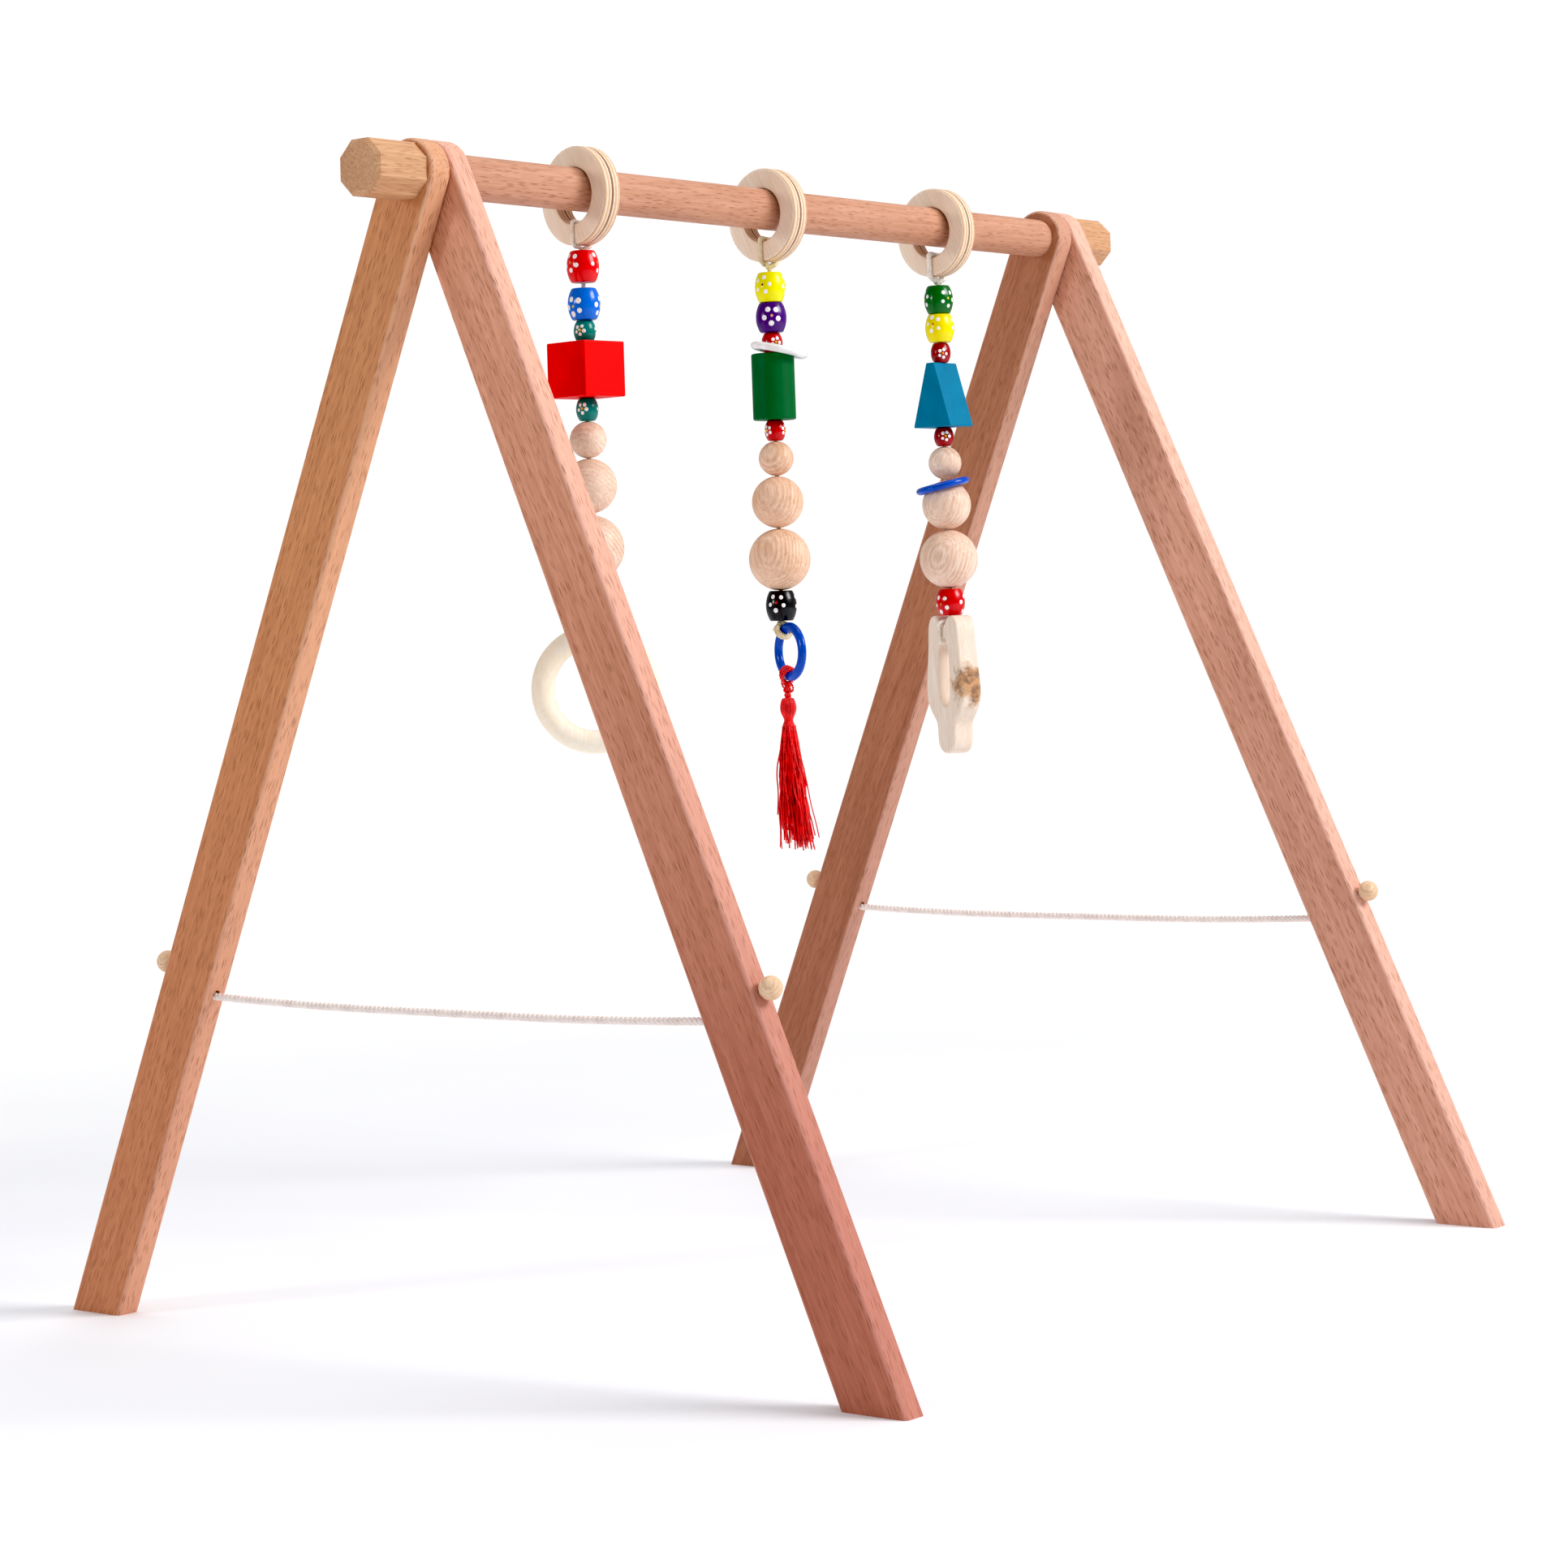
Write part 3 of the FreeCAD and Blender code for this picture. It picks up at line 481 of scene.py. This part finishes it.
def make_floor():
    bm = bmesh.new()
    bmesh.ops.create_grid(bm, x_segments=8, y_segments=8, size=FLOOR_HALF)
    mesh = bpy.data.meshes.new("floor")
    bm.to_mesh(mesh)
    bm.free()
    floor = bpy.data.objects.new("floor", mesh)
    bpy.context.scene.collection.objects.link(floor)
    g = Graph("studio_floor")
    tone = g.noise(g.place(), 3.0, 2)
    base = g.ramp(tone, ((0.3, "#F6F7FD"), (0.7, "#FAFBFF")))
    mesh.materials.append(g.surface(base, 0.7, specular=0.1))
    # away from the gym the camera sees the floor as white as the backdrop
    away = g.spread(g.vector("LENGTH", g.place(), (0, 0, 0)), 0.55, 1.5)
    seen = g.math("MULTIPLY", g.node("LightPath", {}).outputs["Is Camera Ray"], away)
    white = g.node("Emission", {"Strength": BACKDROP_WHITE})
    blend = g.node("MixShader", {0: seen, 1: g.shader.outputs[0], 2: white.outputs[0]})
    g.put(g.tree.nodes["Material Output"].inputs["Surface"], blend.outputs[0])


def area_light(name, place, target, size, power, tint):
    data = bpy.data.lights.new(name, "AREA")
    data.shape = "RECTANGLE"
    data.size = size[0]
    data.size_y = size[1]
    data.energy = power
    data.color = tint
    lamp = bpy.data.objects.new(name, data)
    lamp.location = place
    lamp.rotation_euler = (Vector(target) - Vector(place)).to_track_quat("-Z", "Y").to_euler()
    bpy.context.scene.collection.objects.link(lamp)


def make_world(strength, seen):
    """White surroundings: seen brightness for the camera, a lower strength as light."""
    world = bpy.data.worlds.new("studio")
    bpy.context.scene.world = world
    world.use_nodes = True
    tree = world.node_tree
    background = tree.nodes["Background"]
    background.inputs["Color"].default_value = (1, 1, 1, 1)
    path = tree.nodes.new("ShaderNodeLightPath")
    choose = tree.nodes.new("ShaderNodeMapRange")
    choose.inputs["To Min"].default_value = strength
    choose.inputs["To Max"].default_value = seen
    tree.links.new(path.outputs["Is Camera Ray"], choose.inputs["Value"])
    tree.links.new(choose.outputs["Result"], background.inputs["Strength"])


def make_lights():
    make_world(WORLD_LIGHT, BACKDROP_WHITE)
    target = (0, 0, 0.35)
    # light: place, size, watts, tint
    lights = {
        "key": ((1.0, -2.6, 2.1), (1.5, 1.2), 84, (1.0, 0.985, 0.98)),
        "fill": ((-2.3, 1.1, 1.0), (0.35, 0.35), 11.5, (0.97, 0.985, 1.0)),
        "top": ((0.2, 0.3, 2.9), (2.2, 2.2), 34, (1.0, 1.0, 1.0)),
    }
    for name, (place, size, watts, tint) in lights.items():
        area_light(name, place, target, size, watts, tint)


def keep_shift_to_one_view(camera):
    """The lens shift belongs to the front view; seen from elsewhere the gym is centred."""
    nearest = CAMERA_PLACE.x - MM
    farthest = CAMERA_PLACE.x + MM
    for channel, shift in zip(("shift_x", "shift_y"), CAMERA_SHIFT):
        driver = camera.data.driver_add(channel).driver
        driver.type = "SCRIPTED"
        place = driver.variables.new()
        place.name = "x"
        place.type = "TRANSFORMS"
        place.targets[0].id = camera
        place.targets[0].transform_type = "LOC_X"
        driver.expression = f"{shift} if x > {nearest:.6f} and x < {farthest:.6f} else 0.0"


def make_camera():
    data = bpy.data.cameras.new("camera")
    data.sensor_width = 36
    data.lens = CAMERA_LENS
    data.clip_end = 50
    camera = bpy.data.objects.new("camera", data)
    back = CAMERA_RIGHT.cross(CAMERA_UP)
    turn = Matrix((CAMERA_RIGHT, CAMERA_UP, back)).transposed()
    camera.matrix_world = Matrix.Translation(CAMERA_PLACE) @ turn.to_4x4()
    bpy.context.scene.collection.objects.link(camera)
    bpy.context.scene.camera = camera
    keep_shift_to_one_view(camera)
    # a little contrast in the shadows keeps painted colours pure
    view = bpy.context.scene.view_settings
    view.view_transform = "Standard"
    view.use_curve_mapping = True
    view.curve_mapping.black_level = (BLACK_LEVEL, BLACK_LEVEL, BLACK_LEVEL)
    view.curve_mapping.update()


# ---- frame of the gym ------------------------------------------------------------------

def dress(node, material):
    """Give a CAD node its finish."""
    mesh = frame["nodes"][node].data
    mesh.materials.clear()
    mesh.materials.append(material)


def leg_grain(leg):
    """Direction down a leg, from the bar to the foot."""
    low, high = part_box(leg)
    hand = 1 if high.y > -low.y else -1
    across = (high.y - low.y) / (high.z - low.z)
    return Vector((0, hand * across, -1)).normalized()


def dress_frame():
    # leg: dark and pale tones of its wood, painted highlight colour of its narrow sides, tint at
    # its foot
    colours = {
        "leg_near_left": ("#B27048", "#E6A06E", "#ECBEA0", "#F8F0FA"),
        "leg_near_right": ("#BA7858", "#F2B092", "#F8C8B8", "#D8BCBC"),
        "leg_far_left": ("#985C42", "#CC8C6A", "#E8BCA8", "#F0E8EC"),
        "leg_far_right": ("#C28468", "#F4BAA2", "#F0C8B8", "#F8F4F4"),
    }
    for seed, (leg, (deep, pale, side, foot)) in enumerate(colours.items()):
        dress(leg, wood(leg + "_beech", deep, pale, "#8A5230", leg_grain(leg), seed=seed + 1,
                        rings=0.14, period=9 * MM, broad=0.2, flecks=0.62,
                        stain_or_painted_light=painted_highlight_sides(side, foot)))
        stopper = leg.replace("leg", "stopper")
        dress(stopper, wood(stopper + "_maple", "#D2A67E", "#F8DABA", "#A87850", (0.6, 0.2, 0.8),
                            middle(stopper), seed, rings=0.4, period=1.9 * MM, flecks=0.15))
    dress("crossbar", wood("bar_beech", "#AE7658", "#D8A48A", "#8A543A", (1, 0, 0), seed=6,
                           rings=0.1, period=6 * MM, broad=0.25, flecks=0.6))
    for seed, cap in enumerate(("end_cap_near", "end_cap_far")):
        dress(cap, wood(cap + "_beech", "#B27A54", "#E0B28A", "#845236", (1, 0, 0), middle(cap),
                        seed, rings=0.22, period=2.2 * MM, pith=(22 * MM, 9 * MM), flecks=0.5))


def make_tie_cord(end):
    """Each half of a tie cord follows its leg at one end and stays under the bar at the other."""
    material = cotton("tie_cord_cotton_" + end, "#FBEEE8", "#E2D0C8")
    node = "tie_cord_" + end
    centre = middle(node)
    low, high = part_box(node)
    for hand, name in ((1, "left"), (-1, "right")):
        leg = f"leg_{end}_{name}"
        down = leg_grain(leg)
        outward = Vector((0, -hand * down.z, hand * down.y))
        stopper = middle(f"stopper_{end}_{name}")
        deep = stopper + outward * 1.5 * MM
        bend = stopper - outward * TIE_CORD_BEND * MM - down * 0.5 * MM
        sag = Vector((centre.x, 0, low.z + 2.0 * MM))
        quarter = bend.lerp(sag, 0.5) + Vector((0, 0, -0.9 * MM))
        bm = bmesh.new()
        rope(bm, (deep, bend + outward * 5 * MM, bend + Vector((0, -hand * 5 * MM, 0.2 * MM)),
                  quarter, sag, sag - Vector((0, hand * 1.5 * MM, 0))),
             TIE_CORD_RADIUS * MM, TIE_CORD_PITCH * MM, 3, 8)
        piece = new_piece(f"tie_cord_{end}_{name}", bm, [material], None)
        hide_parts(node)
        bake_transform(piece)


# ---- rings, cords and strings ----------------------------------------------------------

def dress_hanging_rings():
    for string in STRINGS:
        along, _ = turned_axes(joint_yaw("swing_fore_aft_" + string))
        dress(string + "_ring", plywood(string + "_plywood", middle(string + "_ring"), along))


def up_one_face(centre, side, corner, inner, outer):
    """Points of a cord from under a ring, up one of its faces and into its hole."""
    return [centre + outer * 1.01 + side * 0.3, centre + corner + outer,
            centre + side + outer * 0.94, centre + side + outer * 0.8,
            centre + side + inner * 1.15, centre + side * 0.9 + inner * 0.97]


def make_loop(string, material):
    """The cord that hugs the bottom of a hanging ring, knotted under it."""
    yaw = joint_yaw("swing_fore_aft_" + string)
    along, across = turned_axes(yaw)
    node = string + "_loop"
    ring = string + "_ring"
    centre = middle(ring)
    half = spans(ring, yaw)[1].x
    radius = LOOP_RADIUS[string] * MM
    side = along * (half + radius - 0.1 * MM)
    inner = UP * (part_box(node)[1].z - LOOP_TOP_INSET * MM - centre.z)
    outer = UP * (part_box(ring)[0].z - centre.z - radius)
    knot = Vector(joints["swing_sideways_" + string]["pos_m"])
    corner = along * (half - 1.0 * MM)
    bm = bmesh.new()
    up = up_one_face(centre, side, corner, inner, outer)
    down = up_one_face(centre, -side, -corner, inner, outer)[::-1]
    rope(bm, [knot] + up + [centre + inner] + down + [knot], radius, 2.8 * radius, 3, 7)
    size = 1.45 * radius
    rope(bm, knot_path(knot, size, along, across), 0.62 * radius, 2.4 * radius, 3, 6)
    rng = random.Random(string)
    for way in (1, -1):
        start = knot + along * way * size
        tail = along * way + across * 0.4 * way + UP * rng.uniform(0.25, 0.5)
        rope(bm, (knot, start, start + tail * 2.2 * MM), 0.6 * radius, 2.4 * radius, 3, 6)
        frayed_end(bm, start + tail * 2 * MM, tail, 3.4 * MM, 12, rng, 0.2 * MM)
    piece = new_piece(string + "_loop_cord", bm, [material], string + "_loop")
    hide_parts(node)


def round_a_tube(outward, tangent):
    """Directions round a tube for one turn of cord, each with the cosine of its angle."""
    through = tangent.cross(outward)
    made = []
    for k in range(TURN_STEPS + 1):
        angle = 2 * math.pi * k / TURN_STEPS
        made.append((outward * math.cos(angle) + through * math.sin(angle), math.cos(angle)))
    return made


def tie_to_ring(bm, string, line, low):
    """Run the strand down to the ring at its foot and turn it twice round the ring."""
    joint, ring = FOOT_RINGS[string]
    eye = Vector(joints[joint]["pos_m"])
    tangent = Vector(joints[joint]["axis"])
    outward = (eye - middle(ring)).normalized()
    radius = (eye.z - low.z - EYE_CORD_RADIUS * MM) / outward.z
    top = eye + outward * radius
    above = Vector((line[0].x, line[0].y, top.z + 2 * MM))
    cord = STRAND_RADIUS * MM
    pitch = STRAND_PITCH * MM
    rope(bm, line + [above, top], cord, pitch, 3, 6)
    for shift in (-1.1 * MM, 1.2 * MM):
        loop = [eye + way * radius + tangent * (shift + 0.5 * MM * cosine)
                for way, cosine in round_a_tube(outward, tangent)]
        rope(bm, loop, cord, pitch, 3, 6)
    if string == "h2":
        side = top + tangent * 2.2 * MM - outward * 0.6 * MM
        rope(bm, knot_path(side, 2.7 * MM, tangent, tangent.cross(outward)), 1.3 * MM,
             3.4 * MM, 3, 6)
        frayed_end(bm, side + tangent * 2.4 * MM, tangent + UP * 0.3, 5.5 * MM, 18,
                   random.Random(3), 0.22 * MM)


def make_strand(string, material):
    """The cord through the beads, with the turns at its end round whatever hangs there."""
    node = string + "_strand"
    low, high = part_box(node)
    knot = Vector(joints["swing_sideways_" + string]["pos_m"])
    line = [Vector((knot.x, knot.y, z)) for z in (high.z + 1.2 * MM, (high.z + low.z) / 2)]
    bm = bmesh.new()
    if string in FOOT_RINGS:
        tie_to_ring(bm, string, line, low)
    else:
        foot = Vector((knot.x, knot.y, low.z + 2 * MM))
        rope(bm, line + [foot], STRAND_RADIUS * MM, STRAND_PITCH * MM, 3, 6)
    piece = new_piece(string + "_cord", bm, [material], string + "_strand")
    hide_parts(node)


def make_strings():
    tints = (("#FFF8EE", "#D8C6B0"), ("#F6E8C2", "#CDB680"), ("#FFF8EE", "#DACBB8"))
    for string, (pale, deep) in zip(STRINGS, tints):
        material = cotton(string + "_cotton", pale, deep)
        make_loop(string, material)
        make_strand(string, material)


# ---- beads -----------------------------------------------------------------------------

def bead_profile(node, end_share):
    """Radius of a barrel bead at a height above its middle: a circle arc."""
    low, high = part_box(node)
    half = (high.z - low.z) / 2
    radius = (high.x - low.x) / 2
    rise = radius * (1 - end_share)
    circle = (half * half + rise * rise) / (2 * rise)
    return lambda z: radius - circle + math.sqrt(circle * circle - z * z)


def paint_dot(bm, centre, profile, angle, height, radius, slot):
    """A small domed drop of paint on a bead's side."""
    rows = 4
    sides = 14
    thickness = 0.2 * MM
    reach = profile(height)
    rings = []
    for row in range(rows + 1):
        share = row / rows
        lift = thickness * (1 - share ** 2.6) - 0.03 * MM
        ring = []
        for k in range(sides if row else 1):
            turn = 2 * math.pi * k / sides
            z = height + radius * share * math.sin(turn)
            a = angle + radius * share * math.cos(turn) / reach
            r = profile(z) + lift
            ring.append(bm.verts.new(centre + Vector((r * math.cos(a), r * math.sin(a), z))))
        rings.append(ring)
    for k in range(sides):
        n = (k + 1) % sides
        faces = [bm.faces.new((rings[0][0], rings[1][k], rings[1][n]))]
        for a, b in zip(rings[1:], rings[2:]):
            faces.append(bm.faces.new((a[k], b[k], b[n], a[n])))
        for face in faces:
            face.material_index = slot
            face.smooth = True


def make_dots(bead, phase, rise, core_code, small, bold):
    """Three simple five-dot flowers spaced round a bead; phase turns one towards the camera."""
    centre = middle(bead)
    profile = bead_profile(bead, SMALL_BEAD_END if small else BARREL_BEAD_END)
    petal = (1.15 if small else 1.65 if bold else 1.4) * MM
    core = (0.8 if small else 0.9) * MM
    reach = (2.5 if small else 4.6) * MM
    rng = random.Random(bead)
    bm = bmesh.new()
    for flower in range(3):
        turn = math.radians(VIEW_ANGLE + phase + 120 * flower)
        paint_dot(bm, centre, profile, turn, rise * MM, core, 1)
        start = rng.uniform(0, 72)
        for k in range(5):
            angle = math.radians(start + 72 * k + rng.uniform(-6, 6))
            z = rise * MM + reach * math.sin(angle) * rng.uniform(0.92, 1.05)
            a = turn + reach * math.cos(angle) * rng.uniform(0.92, 1.05) / profile(rise * MM)
            paint_dot(bm, centre, profile, a, z, petal * rng.uniform(0.88, 1.1), 0)
    white = paint(bead + "_dot_white", "#FFFFFF", centre, 0.3, 0.4, dark=0.93)
    middle_paint = paint(bead + "_dot_core", core_code, centre, 0.3, 0.4)
    new_piece(bead + "_dots", bm, [white, middle_paint], bead)


def dress_beads():
    # bead: paint, flower phase in degrees, rise in mm, core colour
    barrels = {
        "h1_barrel_red": ("#EE000C", -50, 2.0, "#F08A24"),
        "h1_barrel_blue": ("#0070E8", -41, -1.6, "#D9C43A"),
        "h1_barrel_low": ("#007028", -30, 0.5, "#F0D83A"),
        "h2_barrel_yellow": ("#FFFA00", -32, 1.2, "#8A2A12"),
        "h2_barrel_purple": ("#4A007C", 1, 0.6, "#F0B27A"),
        "h2_barrel_black": ("#0C0C10", -20, 1.8, "#D01020"),
        "h3_barrel_green": ("#006A1C", 38, 0.4, "#E8D21E"),
        "h3_barrel_yellow": ("#FFEC00", -32, 2.2, "#E07A1A"),
        "h3_barrel_red": ("#DC000C", -46, -1.2, "#E0701A"),
    }
    smalls = {
        "h1_small_teal_upper": ("#008478", -25, 0.4, "#FFD21E"),
        "h1_small_teal_lower": ("#007A70", -26, 0.4, "#E8C020"),
        "h2_small_red_upper": ("#CC0010", 22, 0.2, "#F0C81E"),
        "h2_small_red_lower": ("#CC000C", -52, 0.0, "#F0D020"),
        "h3_small_red_upper": ("#A0000C", 9, -0.6, "#F0941E"),
        "h3_small_red_lower": ("#A0000C", 7, 0.3, "#F0B01E"),
    }
    for beads, small in ((barrels, False), (smalls, True)):
        for bead, (code, phase, rise, core) in beads.items():
            dress(bead, paint(bead + "_paint", code, middle(bead)))
            make_dots(bead, phase, rise, core, small, bead.endswith(("blue", "purple")))
    blocks = {
        "h1_cube_red": "#F80000",
        "h2_cylinder_green": "#00642C",
        "h3_prism_turquoise": "#007CA4",
    }
    for block, code in blocks.items():
        dress(block, paint(block + "_paint", code, middle(block), 0.5, 0.0, 0.2, 0.86))


def dress_balls():
    grains = {"h1": (-0.75, -0.62, 0.15), "h2": (0.35, 0.3, 1.0), "h3": (0.2, -0.3, 1.0)}
    tones = {
        "h1": ("#D4A88C", "#FFE6D2"),
        "h2": ("#D09A76", "#FFE2C8"),
        "h3": ("#D8A88A", "#FFEEDE"),
    }
    for k, string in enumerate(STRINGS):
        for seed, size in enumerate(("small", "middle", "large")):
            ball = f"{string}_ball_{size}"
            dress(ball, wood(ball + "_maple", *tones[string], "#B08060", grains[string],
                             middle(ball), seed + 3 * k, period=(2.9 - 0.3 * seed) * MM,
                             rings=0.36, pith=(14 * MM if string == "h1" else 28 * MM, 6 * MM),
                             flecks=0.25, broad=0.5, roughness=0.42))


def dress_plastic():
    for ring in ("h1_loose_ring_blue", "h3_loose_ring_blue", "h2_pendant_ring_blue"):
        dress(ring, plastic(ring + "_plastic", "#004CC4", middle(ring)))
    dress("h2_loose_ring_white", plastic("white_plastic", "#FFFFFF", middle("h2_loose_ring_white")))


# ---- pendants --------------------------------------------------------------------------

def dress_wooden_pendants():
    ring = "h1_teething_ring"
    dress(ring, wood("teething_ring_maple", "#FCE6C2", "#FFFFF6", "#E4C494", (0.3, 0.2, 1.0),
                     middle(ring), 4, period=4 * MM, rings=0.14, flecks=0.12, broad=0.25,
                     roughness=0.4))
    node = "h3_teether"

    def knotty(g, base):
        """A brown knot with a ragged outline on one edge of the board."""
        spot = middle(node) - Vector(joints["swing_teether"]["axis"]) * 21 * MM
        far = g.vector("LENGTH", g.place(spot), (0, 0, 0))
        ragged = g.math("MULTIPLY_ADD", g.noise(g.place(spot), 190, 4), 22 * MM, far)
        share = g.spread(ragged, 19 * MM, 25 * MM, 0.9, 0.0)
        brown = g.ramp(g.noise(g.place(spot), 260, 4), ((0.35, "#6A4024"), (0.6, "#C89462")))
        return g.mix(share, base, brown)

    dress(node, wood("teether_wood", "#E2CCB6", "#FBEEE0", "#C4A484", (0.1, 0, 1), middle(node), 7,
                     period=6 * MM, rings=0.15, flecks=0.12, broad=0.25, roughness=0.55,
                     stain_or_painted_light=knotty))


def make_teether_loop():
    """The cord from the last bead of the third string through the slot of the teether."""
    node = "h3_teether_loop"
    yaw = joint_yaw("swing_teether") - 90
    along, across = turned_axes(yaw)
    centre = middle(node)
    low, high = spans(node, yaw)
    radius = TEETHER_CORD_RADIUS * MM
    side = along * (high.x - radius)
    top = centre + UP * (high.z - 1.5 * MM)
    shoulder = UP * (high.z - 4.5 * MM)
    bottom = UP * (low.z + radius)
    bm = bmesh.new()
    rope(bm, (top, centre + side + shoulder, centre + side,
              centre + side + bottom * 0.8, centre + side * 0.8 + bottom, centre + bottom,
              centre - side * 0.8 + bottom, centre - side + bottom * 0.8, centre - side,
              centre - side + shoulder, top), radius, 3.4 * MM, 3, 6)
    rope(bm, knot_path(top, 1.5 * MM, along, across), 0.7 * MM, 3 * MM, 3, 5)
    piece = new_piece("h3_teether_cord", bm, [cotton("teether_cotton", "#FFF8EE", "#D4C2AA")],
                      "h3_teether")
    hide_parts(node)


def make_tassel_cord(material):
    """Red cord turned round the bottom of the plastic ring, with knots and a small bow."""
    node = "h2_tassel_cord"
    eye = Vector(joints["swing_tassel"]["pos_m"])
    tangent = Vector(joints["swing_tassel"]["axis"])
    outward = (eye - middle("h2_pendant_ring_blue")).normalized()
    through = tangent.cross(outward)
    low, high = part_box(node)
    radius = (high.z - eye.z - TASSEL_CORD_RADIUS * MM) / -outward.z
    bm = bmesh.new()
    for shift in (-2.0 * MM, -0.5 * MM, 1.1 * MM):
        loop = [eye + way * radius + tangent * shift * (1.1 - cosine)
                for way, cosine in round_a_tube(outward, tangent)]
        rope(bm, loop, 0.85 * MM, 3 * MM, 2, 6)
    head = middle("h2_tassel_head")
    start = eye + outward * radius
    knots = [Vector((head.x, head.y, start.z - drop * MM)) for drop in TASSEL_KNOT_DROPS]
    for knot, size in zip(knots, (2.9 * MM, 2.1 * MM)):
        rope(bm, knot_path(knot, size, tangent, through), 0.95 * MM, 3 * MM, 2, 6)
    for way in (-1, 1):
        bow = [knots[0]]
        for k in range(1, 8):
            angle = math.pi * 2 * k / 8
            bow.append(knots[0] + tangent * way * (1 - math.cos(angle)) * 3.4 * MM
                       + UP * (math.sin(angle) * 2.6 + 1.4) * MM)
        bow.append(knots[0])
        rope(bm, bow, 0.62 * MM, 3 * MM, 2, 6)
    tail = Vector((head.x, head.y, low.z - 2 * MM))
    for way in (-1, 1):
        rope(bm, (start, knots[0], knots[1] + tangent * way * 0.8 * MM,
                  tail + tangent * way * 0.4 * MM), 0.8 * MM, 3 * MM, 2, 6)
    piece = new_piece("h2_tassel_red_cord", bm, [material], "h2_tassel")
    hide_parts(node)


def make_tassel_head(material):
    """The folded threads of the tassel, bound at the top and again at the neck."""
    node = "h2_tassel_head"
    low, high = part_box(node)
    centre = middle(node)
    length = high.z - low.z
    widest = (high.x - low.x) / 2
    rng = random.Random(5)
    bm = bmesh.new()
    for k in range(HEAD_THREADS):
        angle = 2 * math.pi * k / HEAD_THREADS + rng.uniform(-0.05, 0.05)
        twist = rng.uniform(-0.25, 0.25)
        points = []
        for step in range(9):
            share = step / 8
            swell = math.sin(math.pi * min(1, share * 1.25 + 0.12)) if share < 0.8 else 0.35
            radius = widest * (0.46 + 0.46 * max(swell, 0)) * rng.uniform(0.97, 1.02)
            turn = angle + twist * share
            points.append(Vector((centre.x + radius * math.cos(turn),
                                  centre.y + radius * math.sin(turn), high.z - length * share)))
        path = smooth_path(points, length / 16)
        tube(bm, path, [0.42 * MM] * len(path), 5)
    crown = [Vector((centre.x, centre.y, high.z + 0.4 * MM)),
             Vector((centre.x, centre.y, low.z))]
    path = smooth_path(crown, length / 12)
    tube(bm, path, [widest * 0.5] * len(path), 10)
    for start, turns, radius in ((0.86, 4, widest * 0.66), (0.03, 3, widest * 0.62)):
        coil = []
        for k in range(turns * 14 + 1):
            angle = 2 * math.pi * k / 14
            drop = length * start + k / 14 * 0.75 * MM
            coil.append(Vector((centre.x + radius * math.cos(angle),
                                centre.y + radius * math.sin(angle), high.z - drop)))
        path = smooth_path(coil, 0.5 * MM)
        tube(bm, path, [0.42 * MM] * len(path), 6)
    piece = new_piece("h2_tassel_bound_head", bm, [material], "h2_tassel")
    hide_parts(node)


def make_tassel_skirt(material):
    """Loose threads: they spread below the neck, wave a little and end unevenly."""
    node = "h2_tassel_skirt"
    low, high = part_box(node)
    centre = middle(node)
    length = high.z - low.z
    widest = (high.x - low.x) / 2
    neck = widest * 0.36
    rng = random.Random(11)
    left = math.radians(VIEW_ANGLE - 90)
    lean = Vector((-math.cos(left), -math.sin(left), 0)) * 2.5 * MM
    bm = bmesh.new()
    for k in range(SKIRT_THREADS):
        angle = rng.uniform(0, 2 * math.pi)
        depth = math.sqrt(rng.random())
        stray = rng.random() < 0.06
        short = math.cos(angle - left) > 0.35 and rng.random() < 0.75
        share_end = rng.uniform(0.7, 0.84) if short else rng.uniform(0.87, 1.0)
        end = length * (rng.uniform(0.45, 0.7) if rng.random() < 0.06 else share_end)
        spread = widest * depth * (rng.uniform(1.1, 1.35) if stray else rng.uniform(0.82, 1.1))
        sway = [rng.uniform(-1, 1) for _ in range(4)]
        points = []
        for step in range(8):
            share = step / 7
            radius = neck * depth + (spread - neck * depth) * share ** 0.9
            wobble = 1.0 * MM * math.sin(math.pi * share) + 0.3 * MM
            bend = angle + sway[0] * 0.35 * share
            x = radius * math.cos(bend) + wobble * sway[1] * math.sin(3 * share * math.pi + k)
            y = radius * math.sin(bend) + wobble * sway[2] * math.cos(4 * share * math.pi + k)
            points.append(Vector((centre.x + x, centre.y + y, high.z + 1.5 * MM - end * share))
                          + lean * share * share)
        path = smooth_path(points, length / 22)
        thick = rng.uniform(0.3, 0.46) * MM
        tube(bm, path, [thick] * len(path), 5)
    piece = new_piece("h2_tassel_threads", bm, [material], "h2_tassel")
    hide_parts(node)


def make_tassel():
    material = thread("tassel_red", "#FF0006", "#9A0004")
    make_tassel_cord(material)
    make_tassel_head(material)
    make_tassel_skirt(material)


make_floor()
make_lights()
make_camera()
dress_frame()
make_tie_cord("near")
make_tie_cord("far")
dress_hanging_rings()
make_strings()
dress_beads()
dress_balls()
dress_plastic()
dress_wooden_pendants()
make_teether_loop()
make_tassel()
